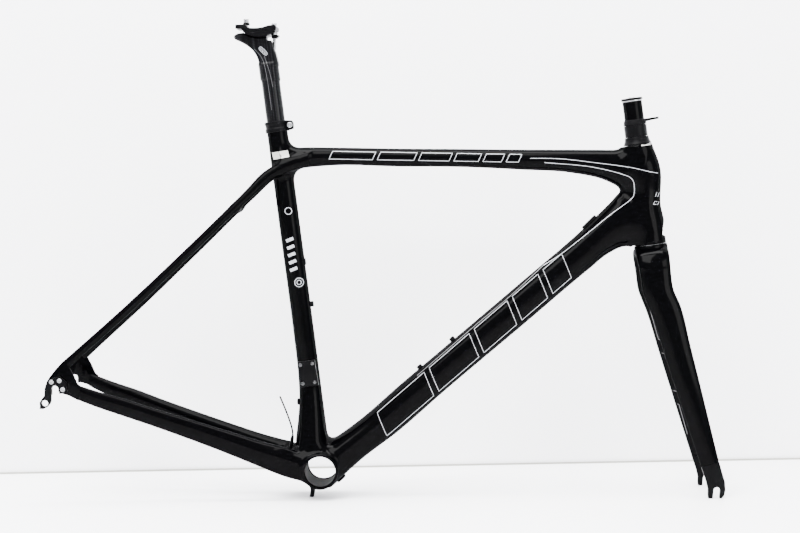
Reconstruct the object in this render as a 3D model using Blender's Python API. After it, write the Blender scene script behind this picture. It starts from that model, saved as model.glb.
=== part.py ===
"""A bare road bicycle frameset: carbon frame, fork, headset, seatpost and saddle clamp.

Every dimension is in millimetres. The frame is drawn as it is ridden, in a chart whose origin is the
bottom bracket's centre, with x forward, z up and y to the rider's left. At the end the whole frameset is
tipped nose-down onto its own three feet: the two fork tips and the cable guide under the bottom bracket.
"""

import math

import bmesh
import bpy
from mathutils import Matrix, Vector

# Driving dimensions: the frame's geometry chart.
REAR_AXLE = (-399.5, 67.0)
FRONT_AXLE = (578.5, 66.0)
HEAD_TOP = (390.5, 547.5)
HEAD_ANGLE = 73.6
HEAD_LENGTH = 146.5
SEAT_ANGLE = 74.0
SEAT_TUBE_LENGTH = 520.0
SHELL_WIDTH = 86.5
SHELL_BORE_R = 23.0
SHELL_R = 26.0
REAR_SPACING = 130.0
FRONT_SPACING = 100.0
REAR_SLOT = 10.2
FRONT_SLOT = 9.2
STEERER_R = 14.3
POST_R = 13.6
FOOT = (-8.1, -45.0)
TIP_FOOT = (585.2, 55.0)

WALL = 1.4
GAP = 0.3
ROUND = 24

STANCE = math.atan2(TIP_FOOT[1] - FOOT[1], TIP_FOOT[0] - FOOT[0])
MM = 0.001

for old in list(bpy.data.objects):
    bpy.data.objects.remove(old)


# Materials

def material(name, colour, roughness, metallic=0.0, coat=0.0):
    made = bpy.data.materials.new(name)
    made.use_nodes = True
    shader = made.node_tree.nodes["Principled BSDF"]
    shader.inputs["Base Color"].default_value = (*colour, 1.0)
    shader.inputs["Roughness"].default_value = roughness
    shader.inputs["Metallic"].default_value = metallic
    shader.inputs["Coat Weight"].default_value = coat
    return made


CARBON = material("satin_carbon", (0.012, 0.012, 0.013), 0.35, coat=0.4)
POST_CARBON = material("gloss_carbon", (0.02, 0.02, 0.022), 0.25, coat=0.8)
BLACK_METAL = material("black_anodised", (0.02, 0.02, 0.02), 0.4, metallic=0.6)
STEEL = material("bright_steel", (0.6, 0.6, 0.62), 0.3, metallic=1.0)
RUBBER = material("black_rubber", (0.02, 0.02, 0.02), 0.8)
PLASTIC = material("black_plastic", (0.02, 0.02, 0.02), 0.55)


# Placing

def empty(name, parent=None, location=(0.0, 0.0, 0.0), rotation=(0.0, 0.0, 0.0)):
    made = bpy.data.objects.new(name, None)
    bpy.context.scene.collection.objects.link(made)
    made.parent = parent
    made.location = [MM * v for v in location]
    made.rotation_euler = rotation
    return made


FRAMESET = empty("frameset")
STEERING = empty(
    "steering_axis", FRAMESET, (HEAD_TOP[0], 0.0, HEAD_TOP[1]), (0.0, math.radians(HEAD_ANGLE - 90.0), 0.0)
)
SEATING = empty("seat_axis", FRAMESET, (0.0, 0.0, 0.0), (0.0, math.radians(SEAT_ANGLE - 90.0), 0.0))

CLAMP_CENTRE = (-191.7, 662.0)
CLAMP = empty("clamp_pivot", FRAMESET, (CLAMP_CENTRE[0], 0.0, CLAMP_CENTRE[1]), (0.0, -STANCE, 0.0))


def add(name, mesh, look, parent=FRAMESET, location=(0.0, 0.0, 0.0), rotation=(0.0, 0.0, 0.0)):
    """Puts a mesh in the scene. Its points are in its parent's axes."""
    made = bpy.data.objects.new(name, mesh)
    bpy.context.scene.collection.objects.link(made)
    made.parent = parent
    made.location = [MM * v for v in location]
    made.rotation_euler = rotation
    mesh.materials.append(look)
    mesh.shade_smooth()
    mesh.set_sharp_from_angle(angle=math.radians(35.0))
    return made


def cutter(name, mesh, parent=FRAMESET, location=(0.0, 0.0, 0.0), rotation=(0.0, 0.0, 0.0)):
    made = add(name, mesh, CARBON, parent, location, rotation)
    made.hide_render = True
    made.display_type = "WIRE"
    return made


def cut(piece, *tools):
    for tool in tools:
        step = piece.modifiers.new("cut_" + tool.name, "BOOLEAN")
        step.operation = "DIFFERENCE"
        step.solver = "EXACT"
        step.object = tool


def join(piece, *tools):
    for tool in tools:
        step = piece.modifiers.new("join_" + tool.name, "BOOLEAN")
        step.operation = "UNION"
        step.solver = "EXACT"
        step.object = tool


def bevel(piece, width, segments=2):
    step = piece.modifiers.new("bevel", "BEVEL")
    step.width = MM * width
    step.segments = segments
    step.limit_method = "ANGLE"
    step.angle_limit = math.radians(40.0)
    return step


# Meshes

def mesh_of(name, points, faces):
    made = bpy.data.meshes.new(name)
    made.from_pydata([[MM * v for v in p] for p in points], [], faces)
    made.validate()
    shape = bmesh.new()
    shape.from_mesh(made)
    bmesh.ops.recalc_face_normals(shape, faces=shape.faces)
    shape.to_mesh(made)
    shape.free()
    return made


def ring(low, high, side, half_width, power, count):
    """A closed superellipse whose depth runs from low to high, two (x, z) points, centred at y = side."""
    centre = Vector((0.5 * (low[0] + high[0]), side, 0.5 * (low[1] + high[1])))
    depth = Vector((0.5 * (high[0] - low[0]), 0.0, 0.5 * (high[1] - low[1])))
    return oval(centre, depth, Vector((0.0, half_width, 0.0)), power, count)


def oval(centre, depth, across, power, count):
    """A closed superellipse round a centre, with its two half axes as vectors."""
    points = []
    for k in range(count):
        turn = 2.0 * math.pi * k / count
        c, s = math.cos(turn), math.sin(turn)
        along = math.copysign(abs(s) ** (2.0 / power), s)
        over = math.copysign(abs(c) ** (2.0 / power), c)
        points.append(centre + depth * along + across * over)
    return points


def grown(low, high, half_width, amount):
    """The same station, larger by amount all round."""
    depth = Vector((high[0] - low[0], high[1] - low[1]))
    step = depth.normalized() * amount
    return (
        (low[0] - step[0], low[1] - step[1]),
        (high[0] + step[0], high[1] + step[1]),
        half_width + amount,
    )


def loft(name, stations, wall=None, grow=0.0, count=ROUND):
    """A tube through stations (low, high, side, half_width, power): hollow with open ends, or solid."""
    def rings(amount):
        found = []
        for low, high, side, half_width, power in stations:
            a, b, w = grown(low, high, half_width, amount)
            found.append(ring(a, b, side, w, power, count))
        return found

    return skin(name, rings(grow), None if wall is None else rings(-wall))


def skin(name, outer, inner):
    """Faces through a row of rings: a solid, or a tube with open ends if there are inner rings too."""
    count = len(outer[0])
    points = [p for r in outer for p in r]
    faces = []
    last = len(outer) - 1

    def strip(first, second, flip):
        for k in range(count):
            j = (k + 1) % count
            quad = (first + k, first + j, second + j, second + k)
            faces.append(quad[::-1] if flip else quad)

    for i in range(last):
        strip(i * count, (i + 1) * count, False)
    if inner is None:
        faces.append(tuple(range(count))[::-1])
        faces.append(tuple(last * count + k for k in range(count)))
    else:
        inner_start = len(points)
        points += [p for r in inner for p in r]
        for i in range(last):
            strip(inner_start + i * count, inner_start + (i + 1) * count, True)
        strip(inner_start, 0, False)
        strip(last * count, inner_start + last * count, False)
    return mesh_of(name, points, faces)


def turned(name, profile, count=ROUND):
    """A closed profile of (radius, height) points turned round z. Points on the axis close it as a solid."""
    points = []
    rows = []
    for radius, height in profile:
        if radius < 1e-6:
            rows.append([len(points)] * count)
            points.append((0.0, 0.0, height))
        else:
            rows.append(list(range(len(points), len(points) + count)))
            for k in range(count):
                turn = 2.0 * math.pi * k / count
                points.append((radius * math.cos(turn), radius * math.sin(turn), height))
    faces = []
    on_axis = [r < 1e-6 for r, _ in profile]
    total = len(profile)
    for i in range(total):
        n = (i + 1) % total
        if on_axis[i] and on_axis[n]:
            continue
        for k in range(count):
            j = (k + 1) % count
            face = []
            for v in (rows[i][k], rows[i][j], rows[n][j], rows[n][k]):
                if v not in face:
                    face.append(v)
            faces.append(tuple(face))
    return mesh_of(name, points, faces)


def tube_profile(inner, outer, low, high):
    return [(inner, low), (outer, low), (outer, high), (inner, high)]


def rod_profile(radius, low, high):
    return [(0.0, low), (radius, low), (radius, high), (0.0, high)]


def socket_profile(radius, low, high, socket_r, depth):
    """A round head with a plain round drive socket in its top."""
    return [(0.0, low), (radius, low), (radius, high - 0.4), (radius - 0.4, high),
            (socket_r, high), (socket_r, high - depth), (0.0, high - depth)]


def plate(name, outline, y_low, y_high):
    """An outline of (x, z) points, extruded from y_low to y_high."""
    count = len(outline)
    points = [(x, y_low, z) for x, z in outline] + [(x, y_high, z) for x, z in outline]
    faces = [tuple(range(count)), tuple(range(2 * count - 1, count - 1, -1))]
    for k in range(count):
        j = (k + 1) % count
        faces.append((k, k + count, j + count, j))
    return mesh_of(name, points, faces)


def arc(centre, radius, start, end, steps):
    """Points on an arc in the (x, z) plane, from start to end degrees."""
    found = []
    for k in range(steps + 1):
        turn = math.radians(start + (end - start) * k / steps)
        found.append((centre[0] + radius * math.cos(turn), centre[1] + radius * math.sin(turn)))
    return found


# The frame's tubes. A station is (lower or rear edge, upper or front edge, y, half width, squareness).

def seat_point(height, offset):
    """A chart point at a height along the seat tube's axis and an offset in front of it."""
    tilt = math.radians(SEAT_ANGLE)
    return (
        -height * math.cos(tilt) + offset * math.sin(tilt),
        height * math.sin(tilt) + offset * math.cos(tilt),
    )


def head_point(drop, offset):
    """A chart point at a distance down the head tube from its top and an offset in front of its axis."""
    tilt = math.radians(HEAD_ANGLE)
    return (
        HEAD_TOP[0] + drop * math.cos(tilt) + offset * math.sin(tilt),
        HEAD_TOP[1] - drop * math.sin(tilt) + offset * math.cos(tilt),
    )


def seat_station(height, rear, front, half_width, power=2.0):
    return (seat_point(height, -rear), seat_point(height, front), 0.0, half_width, power)


def head_station(drop, rear, front, half_width, power=2.0):
    return (head_point(drop, -rear), head_point(drop, front), 0.0, half_width, power)


SEAT_TUBE = [
    seat_station(20.0, 36.0, 15.0, 39.0, 2.4),
    seat_station(45.0, 33.0, 15.0, 35.0, 2.4),
    seat_station(75.0, 26.0, 15.0, 26.0, 2.3),
    seat_station(105.0, 20.0, 15.2, 20.0, 2.2),
    seat_station(140.0, 16.8, 15.3, 17.0, 2.1),
    seat_station(200.0, 15.5, 15.5, 16.0),
    seat_station(SEAT_TUBE_LENGTH, 15.2, 15.2, 15.2),
]
TOP_TUBE = [
    ((-114.0, 431.0), (-127.0, 463.0), 0.0, 15.0, 2.2),
    ((-98.2, 437.6), (-101.0, 469.0), 0.0, 15.5, 2.3),
    ((-56.0, 448.6), (-58.5, 475.5), 0.0, 15.5, 2.4),
    ((48.0, 463.0), (44.4, 489.5), 0.0, 15.5, 2.4),
    ((136.0, 475.8), (132.3, 502.3), 0.0, 16.0, 2.4),
    ((224.6, 485.3), (220.2, 514.8), 0.0, 17.0, 2.4),
    ((300.0, 492.0), (296.0, 526.0), 0.0, 18.0, 2.4),
    ((345.0, 490.0), (336.0, 532.0), 0.0, 18.5, 2.4),
    ((366.0, 484.5), (360.0, 535.5), 0.0, 18.5, 2.4),
    ((374.5, 477.5), (376.0, 537.5), 0.0, 18.5, 2.4),
    (head_point(71.0, 0.0), head_point(6.0, 0.0), 0.0, 18.5, 2.4),
]
DOWN_TUBE = [
    ((18.0, -26.0), (3.0, 38.0), 0.0, 36.0, 2.6),
    ((29.3, -12.0), (19.0, 53.0), 0.0, 34.0, 2.6),
    ((54.9, 19.6), (45.9, 80.4), 0.0, 30.0, 2.5),
    ((107.2, 74.6), (97.2, 141.4), 0.0, 27.0, 2.5),
    ((158.4, 136.0), (148.6, 200.8), 0.0, 26.0, 2.5),
    ((260.7, 254.1), (250.7, 319.1), 0.0, 25.0, 2.5),
    ((348.0, 355.0), (336.0, 420.0), 0.0, 24.0, 2.5),
    ((375.0, 384.0), (366.0, 460.5), 0.0, 23.5, 2.4),
    ((388.0, 393.5), (373.0, 471.0), 0.0, 23.0, 2.4),
    ((407.0, 400.2), (374.3, 476.8), 0.0, 23.0, 2.4),
    (head_point(145.0, 0.0), head_point(71.8, 0.0), 0.0, 23.0, 2.4),
]
HEAD_TUBE = [
    head_station(0.0, 21.0, 21.0, 22.0),
    head_station(10.0, 22.5, 23.2, 22.0),
    head_station(26.0, 23.0, 27.2, 21.5),
    head_station(41.0, 22.5, 29.0, 21.0),
    head_station(56.0, 22.0, 27.8, 20.5),
    head_station(72.0, 21.5, 25.0, 20.5),
    head_station(90.0, 21.5, 22.6, 21.5),
    head_station(115.0, 23.5, 24.6, 24.0),
    head_station(HEAD_LENGTH, 25.3, 25.3, 25.6),
]


def stay_stations(side):
    return [
        ((-384.5, 101.7), (-394.0, 109.5), side * 64.0, 4.2, 2.6),
        ((-363.5, 126.3), (-373.3, 134.0), side * 61.0, 6.0, 2.3),
        ((-307.8, 194.5), (-317.5, 202.0), side * 51.5, 6.5, 2.2),
        ((-234.5, 288.8), (-244.3, 296.3), side * 38.0, 6.5, 2.2),
        ((-160.5, 385.3), (-171.3, 393.8), side * 26.0, 6.5, 2.2),
        ((-136.0, 415.0), (-147.5, 427.0), side * 20.5, 6.2, 2.2),
        ((-112.0, 432.5), (-118.0, 448.5), side * 17.5, 5.5, 2.2),
    ]


def chainstay_stations(side):
    return [
        ((-363.5, 54.5), (-363.5, 75.5), side * 63.0, 4.8, 2.8),
        ((-340.0, 48.6), (-340.0, 71.2), side * 60.0, 6.5, 2.6),
        ((-300.0, 40.4), (-300.0, 65.4), side * 54.0, 8.0, 2.6),
        ((-257.0, 31.7), (-257.0, 57.4), side * 47.5, 8.6, 2.6),
        ((-198.0, 18.8), (-198.0, 47.5), side * 40.0, 9.0, 2.6),
        ((-148.0, 7.2), (-148.0, 39.3), side * 35.0, 9.6, 2.6),
        ((-99.0, -4.8), (-99.0, 31.5), side * 32.5, 10.6, 2.6),
        ((-49.0, -16.4), (-49.0, 25.0), side * 31.5, 11.2, 2.6),
        ((-12.0, -20.0), (-12.0, 14.0), side * 31.5, 11.2, 2.6),
    ]


def shell_mesh(name, radius):
    half = 0.5 * SHELL_WIDTH
    if radius is None:
        chamfer = 1.0
        profile = [
            (SHELL_BORE_R + chamfer, -half), (SHELL_R, -half), (SHELL_R, half),
            (SHELL_BORE_R + chamfer, half), (SHELL_BORE_R, half - chamfer),
            (SHELL_BORE_R, -half + chamfer),
        ]
        return turned(name, profile, 40)
    return turned(name, rod_profile(radius, -half - 5.0, half + 5.0), 40)


LAY_ALONG_Y = (math.radians(90.0), 0.0, 0.0)

shell = add("bottom_bracket_shell", shell_mesh("shell", None), CARBON, rotation=LAY_ALONG_Y)
shell_space = cutter("shell_space", shell_mesh("shell_space", SHELL_R + GAP), rotation=LAY_ALONG_Y)

head_space = cutter("head_space", loft("head_space", HEAD_TUBE, grow=GAP))
seat_space = cutter("seat_space", loft("seat_space", SEAT_TUBE, grow=GAP))
top_space = cutter("top_space", loft("top_space", TOP_TUBE, grow=GAP))

# Head tube: bored for the steerer, with a seat for a bearing at each end.
UPPER_BEARING_R = 19.0
LOWER_BEARING_R = 23.4
BEARING_DEPTH = 7.5
head_tube = add("head_tube", loft("head_tube", HEAD_TUBE), CARBON)
bore = [
    (0.0, 5.0), (0.0, -HEAD_LENGTH - 5.0), (LOWER_BEARING_R, -HEAD_LENGTH - 5.0),
    (LOWER_BEARING_R, -HEAD_LENGTH + BEARING_DEPTH), (21.0, -HEAD_LENGTH + BEARING_DEPTH + 3.0),
    (18.5, -75.0), (17.0, -BEARING_DEPTH - 3.0), (UPPER_BEARING_R, -BEARING_DEPTH), (UPPER_BEARING_R, 5.0),
]
head_bore = cutter("head_bore", turned("head_bore", bore), STEERING)
cut(head_tube, head_bore)

top_tube = add("top_tube", loft("top_tube", TOP_TUBE, wall=WALL), CARBON)
cut(top_tube, head_space, seat_space)

down_tube = add("down_tube", loft("down_tube", DOWN_TUBE, wall=WALL), CARBON)
cut(down_tube, head_space, shell_space, seat_space)

seat_tube = add("seat_tube", loft("seat_tube", SEAT_TUBE, wall=WALL), CARBON)
cut(seat_tube, shell_space)

for word, side in (("right", -1.0), ("left", 1.0)):
    seatstay_mesh = loft("seatstay_" + word, stay_stations(side), wall=1.2, count=20)
    seatstay = add("seatstay_" + word, seatstay_mesh, CARBON)
    cut(seatstay, seat_space, top_space)
    chainstay_mesh = loft("chainstay_" + word, chainstay_stations(side), wall=1.3, count=20)
    chainstay = add("chainstay_" + word, chainstay_mesh, CARBON)
    cut(chainstay, seat_space, shell_space)

# Bridge between the seatstays, above the tyre.
bridge_low, bridge_high = (-176.0, 361.0), (-187.0, 369.5)


def cross_tube(name, low, high, half_length, thickness, count=16):
    """A solid bar along y whose section runs from low to high."""
    centre = (0.5 * (low[0] + high[0]), 0.5 * (low[1] + high[1]))
    depth = Vector((high[0] - low[0], high[1] - low[1])) * 0.5
    normal = Vector((-depth.y, depth.x)).normalized() * thickness
    outline = []
    for k in range(count):
        turn = 2.0 * math.pi * k / count
        outline.append((
            centre[0] + depth.x * math.sin(turn) + normal.x * math.cos(turn),
            centre[1] + depth.y * math.sin(turn) + normal.y * math.cos(turn),
        ))
    return plate(name, outline, -half_length, half_length)


stay_space = [
    cutter("stay_space_" + word, loft("stay_space_" + word, stay_stations(side), grow=GAP, count=20))
    for word, side in (("right", -1.0), ("left", 1.0))
]
bridge = add("seatstay_bridge", cross_tube("bridge", bridge_low, bridge_high, 26.5, 5.0), CARBON)
cut(bridge, *stay_space)

# Rear dropouts: flat plates with a slot for the axle, open downwards.
SLOT_TILT = 8.0


def slot_outline(axle, width, tilt, length, steps=8):
    """A slot whose round end is at the axle and which runs down out of the plate."""
    half = 0.5 * width
    found = arc(axle, half, tilt, tilt + 180.0, steps)
    down = math.radians(tilt - 90.0)
    dx, dz = length * math.cos(down), length * math.sin(down)
    last, first = found[-1], found[0]
    return found + [(last[0] + dx, last[1] + dz), (first[0] + dx, first[1] + dz)]


DROPOUT_TOP = [(-366.0, 55.4), (-364.0, 55.0), (-364.0, 76.0), (-369.0, 79.0), (-376.3, 90.5),
               (-384.2, 101.0), (-394.4, 109.0), (-404.0, 94.5), (-410.5, 83.0)]
DROPOUT_REAR = [(-414.0, 75.0), (-414.5, 66.0), (-411.0, 58.0), (-405.0, 57.0)]
DROPOUT_FRONT = [(-399.5, 57.0), (-394.0, 60.0), (-389.0, 61.5), (-379.0, 60.0)]
inner = 0.5 * REAR_SPACING
PLATE = 5.0
rear_slot_outline = slot_outline(REAR_AXLE, REAR_SLOT, SLOT_TILT, 30.0)
rear_slot = cutter("rear_slot", plate("rear_slot", rear_slot_outline, -90.0, 90.0))
hanger_screw_spots = [(-406.2, 76.6), (-394.8, 80.3), (-388.2, 68.3)]
for word, low, high in (("right", -inner - PLATE, -inner), ("left", inner, inner + PLATE)):
    dropout_mesh = plate("dropout_" + word, DROPOUT_TOP + DROPOUT_REAR + DROPOUT_FRONT, low, high)
    dropout = add("dropout_" + word, dropout_mesh, CARBON)
    cut(dropout, rear_slot)

# Rear derailleur hanger: its own plate on the outside of the right dropout, held by three screws.
HANGER_FACE = -inner - PLATE - GAP
HANGER_THICK = 4.5
HANGER_HOLE = (-411.0, 44.2)
HANGER = [(-404.3, 66.0), (-403.2, 58.0), (-401.9, 52.0), (-402.8, 45.5), (-406.5, 39.5), (-411.5, 35.7),
          (-417.8, 34.6), (-417.6, 38.4), (-419.0, 44.2), (-416.6, 49.4), (-413.6, 55.0), (-414.6, 66.0),
          (-412.8, 75.6), (-406.0, 82.2), (-394.6, 86.0), (-384.5, 80.0), (-382.5, 68.0), (-387.5, 62.3),
          (-394.3, 64.6)]
hanger_mesh = plate("hanger", HANGER, HANGER_FACE - HANGER_THICK, HANGER_FACE)
hanger = add("derailleur_hanger", hanger_mesh, BLACK_METAL)
hanger_hole = cutter(
    "hanger_hole", turned("hanger_hole", rod_profile(4.6, -15.0, 15.0), 20),
    location=(HANGER_HOLE[0], HANGER_FACE, HANGER_HOLE[1]), rotation=LAY_ALONG_Y,
)
cut(hanger, rear_slot, hanger_hole)
for k, (x, z) in enumerate(hanger_screw_spots):
    screw = [(0.0, -7.0), (1.8, -7.0), (1.8, 0.0), (3.4, 0.8), (3.4, 1.4), (1.5, 1.4), (1.5, -0.6),
             (0.0, -0.6)]
    hole = [(0.0, -20.0), (1.8 + GAP, -20.0), (1.8 + GAP, -0.1), (3.4 + GAP, 0.7), (3.4 + GAP, 9.0),
            (0.0, 9.0)]
    spot = (x, HANGER_FACE - HANGER_THICK + 0.9, z)
    hole_mesh = turned("screw_hole", hole, 16)
    screw_hole = cutter("screw_hole_%d" % (k + 1), hole_mesh, FRAMESET, spot, LAY_ALONG_Y)
    add("hanger_screw_%d" % (k + 1), turned("screw", screw, 16), STEEL, FRAMESET, spot, LAY_ALONG_Y)
    cut(hanger, screw_hole)
    cut(bpy.data.objects["dropout_right"], screw_hole)

# Small fittings of the frame. Each one is placed with its own z axis pointing away from the tube.

def stand(normal):
    """The rotation that turns z to a chart direction (x, z) in the frame's plane."""
    return (0.0, math.atan2(normal[0], normal[1]), 0.0)


def toward_side(side):
    """The rotation that turns z to +y for side 1 and to -y for side -1."""
    return (math.radians(-90.0 * side), 0.0, 0.0)


DOWN_TUBE_NORMAL = (-0.7615, 0.6482)
DOWN_TUBE_ALONG = (0.6482, 0.7615)
BOTTLE_SPACING = 64.0
BOTTLE_BOLT = socket_profile(4.2, 0.0, 4.4, 2.0, 2.4)
LOWER_BOTTLE = (123.3, 171.6)
for word, step in (("lower", 0.0), ("upper", 1.0)):
    spot = (
        LOWER_BOTTLE[0] + step * BOTTLE_SPACING * DOWN_TUBE_ALONG[0] + GAP * DOWN_TUBE_NORMAL[0],
        0.0,
        LOWER_BOTTLE[1] + step * BOTTLE_SPACING * DOWN_TUBE_ALONG[1] + GAP * DOWN_TUBE_NORMAL[1],
    )
    add("down_tube_bottle_bolt_" + word, turned("bottle_bolt", BOTTLE_BOLT, 20), BLACK_METAL, FRAMESET, spot,
        stand(DOWN_TUBE_NORMAL))

SEAT_BOLT_HEIGHT = 246.0
FRONT_OF_SEAT_TUBE = 15.5 + GAP
along_front = (0.0, math.radians(90.0), 0.0)
add("seat_tube_bottle_bolt", turned("seat_bolt", BOTTLE_BOLT, 20), BLACK_METAL, SEATING,
    (FRONT_OF_SEAT_TUBE, 0.0, SEAT_BOLT_HEIGHT), along_front)
insert_profile = tube_profile(2.5, 5.0, 0.0, 1.0)
add("seat_tube_bottle_insert", turned("seat_insert", insert_profile, 20), BLACK_METAL, SEATING,
    (FRONT_OF_SEAT_TUBE, 0.0, SEAT_BOLT_HEIGHT + BOTTLE_SPACING), along_front)

# Front derailleur plate: a thin pad on the seat tube's right side, with a sunk rivet at each corner.
PLATE_HEIGHTS = (131.0, 159.0)
PLATE_OFFSETS = (-10.0, 8.0)
MECH_Y = -18.0
MECH_THICK = 2.5
mech_outline = [
    seat_point(PLATE_HEIGHTS[0] - 5.0, PLATE_OFFSETS[0] - 3.5),
    seat_point(PLATE_HEIGHTS[0] - 5.0, PLATE_OFFSETS[1] + 5.0),
    seat_point(PLATE_HEIGHTS[1] + 5.0, PLATE_OFFSETS[1] + 4.0),
    seat_point(PLATE_HEIGHTS[1] + 5.0, PLATE_OFFSETS[0] - 3.5),
]
mech_plate = add(
    "front_derailleur_plate", plate("mech_plate", mech_outline, MECH_Y - MECH_THICK, -9.0), BLACK_METAL
)
cut(mech_plate, seat_space)
rivet_profile = [(0.0, -1.2), (2.6, -1.2), (2.6, -0.4), (1.8, -0.15), (0.0, -0.15)]
rivet_number = 0
for height in PLATE_HEIGHTS:
    for offset in PLATE_OFFSETS:
        rivet_number += 1
        x, z = seat_point(height, offset)
        spot = (x, MECH_Y - MECH_THICK, z)
        add("derailleur_plate_rivet_%d" % rivet_number, turned("rivet", rivet_profile, 12), STEEL, FRAMESET,
            spot, toward_side(-1.0))
        sink = cutter("rivet_sink_%d" % rivet_number, turned("sink", rod_profile(2.6 + GAP, -1.5, 5.0), 12),
                      FRAMESET, spot, toward_side(-1.0))
        cut(mech_plate, sink)

# Rear grommet: a rubber plug for a cable hole in the seat tube's rear face.
grommet_profile = [(0.0, 0.0), (5.0, 0.0), (4.6, 2.0), (3.4, 2.8), (0.0, 2.8)]
add("seat_tube_grommet", turned("grommet", grommet_profile, 16), RUBBER, SEATING,
    (-21.3 - GAP, 0.0, 103.0), (0.0, math.radians(-90.0 + 8.0), 0.0))

# Chainstay bridge: the box behind the seat tube that the front derailleur's cable comes out of.
BRIDGE_TOP = 24.0
bridge_block = [(-62.0, -4.0), (-45.5, -6.0), (-46.5, BRIDGE_TOP), (-60.0, BRIDGE_TOP)]
chainstay_space = [
    cutter("chainstay_space_" + word, loft("chainstay_space", chainstay_stations(side), grow=GAP, count=20))
    for word, side in (("right", -1.0), ("left", 1.0))
]
chainstay_bridge = add("chainstay_bridge", plate("chainstay_bridge", bridge_block, -30.0, 30.0), CARBON)
cut(chainstay_bridge, seat_space, *chainstay_space)

# A ferrule on the bridge, and the cut end of the front derailleur's cable standing out of it.
FERRULE_FOOT = (-50.4, BRIDGE_TOP + GAP)
FERRULE_HEIGHT = 17.0
FERRULE_R = 2.7
CABLE_R = 1.3
ferrule_profile = [
    (0.0, 0.0), (FERRULE_R, 0.0), (FERRULE_R, 12.0), (2.0, FERRULE_HEIGHT), (0.0, FERRULE_HEIGHT),
]
add("cable_ferrule", turned("ferrule", ferrule_profile, 12), BLACK_METAL, FRAMESET,
    (FERRULE_FOOT[0], 0.0, FERRULE_FOOT[1]))
CABLE_ROUTE = [(-50.4, 41.6), (-51.4, 47.0), (-54.2, 54.5), (-58.6, 63.5), (-64.0, 73.4), (-70.4, 84.2),
               (-78.0, 96.6)]


def smooth_route(route, steps):
    """Points on a Catmull-Rom curve through a route's own points."""
    ends = [route[0]] + list(route) + [route[-1]]
    found = []
    for k in range(1, len(ends) - 2):
        p0, p1, p2, p3 = [Vector(p) for p in ends[k - 1:k + 3]]
        for i in range(steps):
            t = i / steps
            found.append(0.5 * (2.0 * p1 + (p2 - p0) * t + (2.0 * p0 - 5.0 * p1 + 4.0 * p2 - p3) * t * t
                                + (3.0 * p1 - p0 - 3.0 * p2 + p3) * t ** 3))
    found.append(Vector(route[-1]))
    return found


def cable(name, route, radius, look):
    curve = bpy.data.curves.new(name, "CURVE")
    curve.dimensions = "3D"
    curve.bevel_depth = MM * radius
    curve.bevel_resolution = 2
    curve.use_fill_caps = True
    path = smooth_route(route, 2)
    spline = curve.splines.new("POLY")
    spline.points.add(len(path) - 1)
    for point, place in zip(spline.points, path):
        point.co = (MM * place[0], 0.0, MM * place[1], 1.0)
    made = bpy.data.objects.new(name, curve)
    bpy.context.scene.collection.objects.link(made)
    made.parent = FRAMESET
    curve.materials.append(look)


cable("derailleur_cable_stub", CABLE_ROUTE, CABLE_R, BLACK_METAL)


# Cable guide under the shell. Its peg is the rear foot that the frameset stands on.
def floor_height(x):
    """The chart height of the floor under a chart x."""
    return FOOT[1] + (x - FOOT[0]) * math.tan(STANCE)


guide = arc((0.0, 0.0), SHELL_R + GAP, -62.0, -128.0, 7)
guide += [(-17.0, -24.5), (-13.6, -30.0), (-11.4, -34.0), (-11.2, floor_height(-11.2)),
          (-5.0, floor_height(-5.0)), (-4.6, -33.0), (4.0, -30.0), (12.6, -26.5)]
cable_guide = add("bottom_bracket_cable_guide", plate("cable_guide", guide, -8.0, 8.0), PLASTIC)


def pad(name, centre, normal, length, width, thick, lift, look):
    """A small rounded cover lying on a tube: its length runs along the tube and its back faces the tube."""
    block = bmesh.new()
    bmesh.ops.create_cube(block, size=MM)
    bmesh.ops.scale(block, vec=(length, width, thick), verts=block.verts)
    bmesh.ops.translate(block, vec=(0.0, 0.0, MM * (0.5 * thick + lift)), verts=block.verts)
    mesh = bpy.data.meshes.new(name)
    block.to_mesh(mesh)
    block.free()
    made = add(name, mesh, look, FRAMESET, (centre[0], 0.0, centre[1]), stand(normal))
    bevel(made, 0.9)
    return made


pad("down_tube_port_cover", (338.5, 423.4), (-0.803, 0.595), 27.0, 13.0, 2.4, 0.9, PLASTIC)
pad("lower_cable_exit", (30.5, -10.5), (0.777, -0.63), 15.0, 14.0, 3.0, 0.5, RUBBER)

# Seat collar: a split ring with two ridges and a block in front for its clamping bolt.
COLLAR_LOW, COLLAR_HIGH = 505.7, 521.6
COLLAR_BORE = 15.5
BLOCK_FRONT = 24.5
BLOCK_HALF = 8.0
BOLT_OFFSET = 20.3
BOLT_HEIGHT = 513.8
collar_profile = [
    (COLLAR_BORE, COLLAR_LOW), (17.1, COLLAR_LOW), (17.1, 511.6), (16.4, 512.4), (16.4, 516.2), (17.1, 517.0),
    (17.1, COLLAR_HIGH), (COLLAR_BORE, COLLAR_HIGH),
]
collar = add("seat_collar", turned("collar", collar_profile, 32), BLACK_METAL, SEATING)


def box_mesh(name, low, high):
    (x0, y0, z0), (x1, y1, z1) = low, high
    return plate(name, [(x0, z0), (x1, z0), (x1, z1), (x0, z1)], y0, y1)


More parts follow.
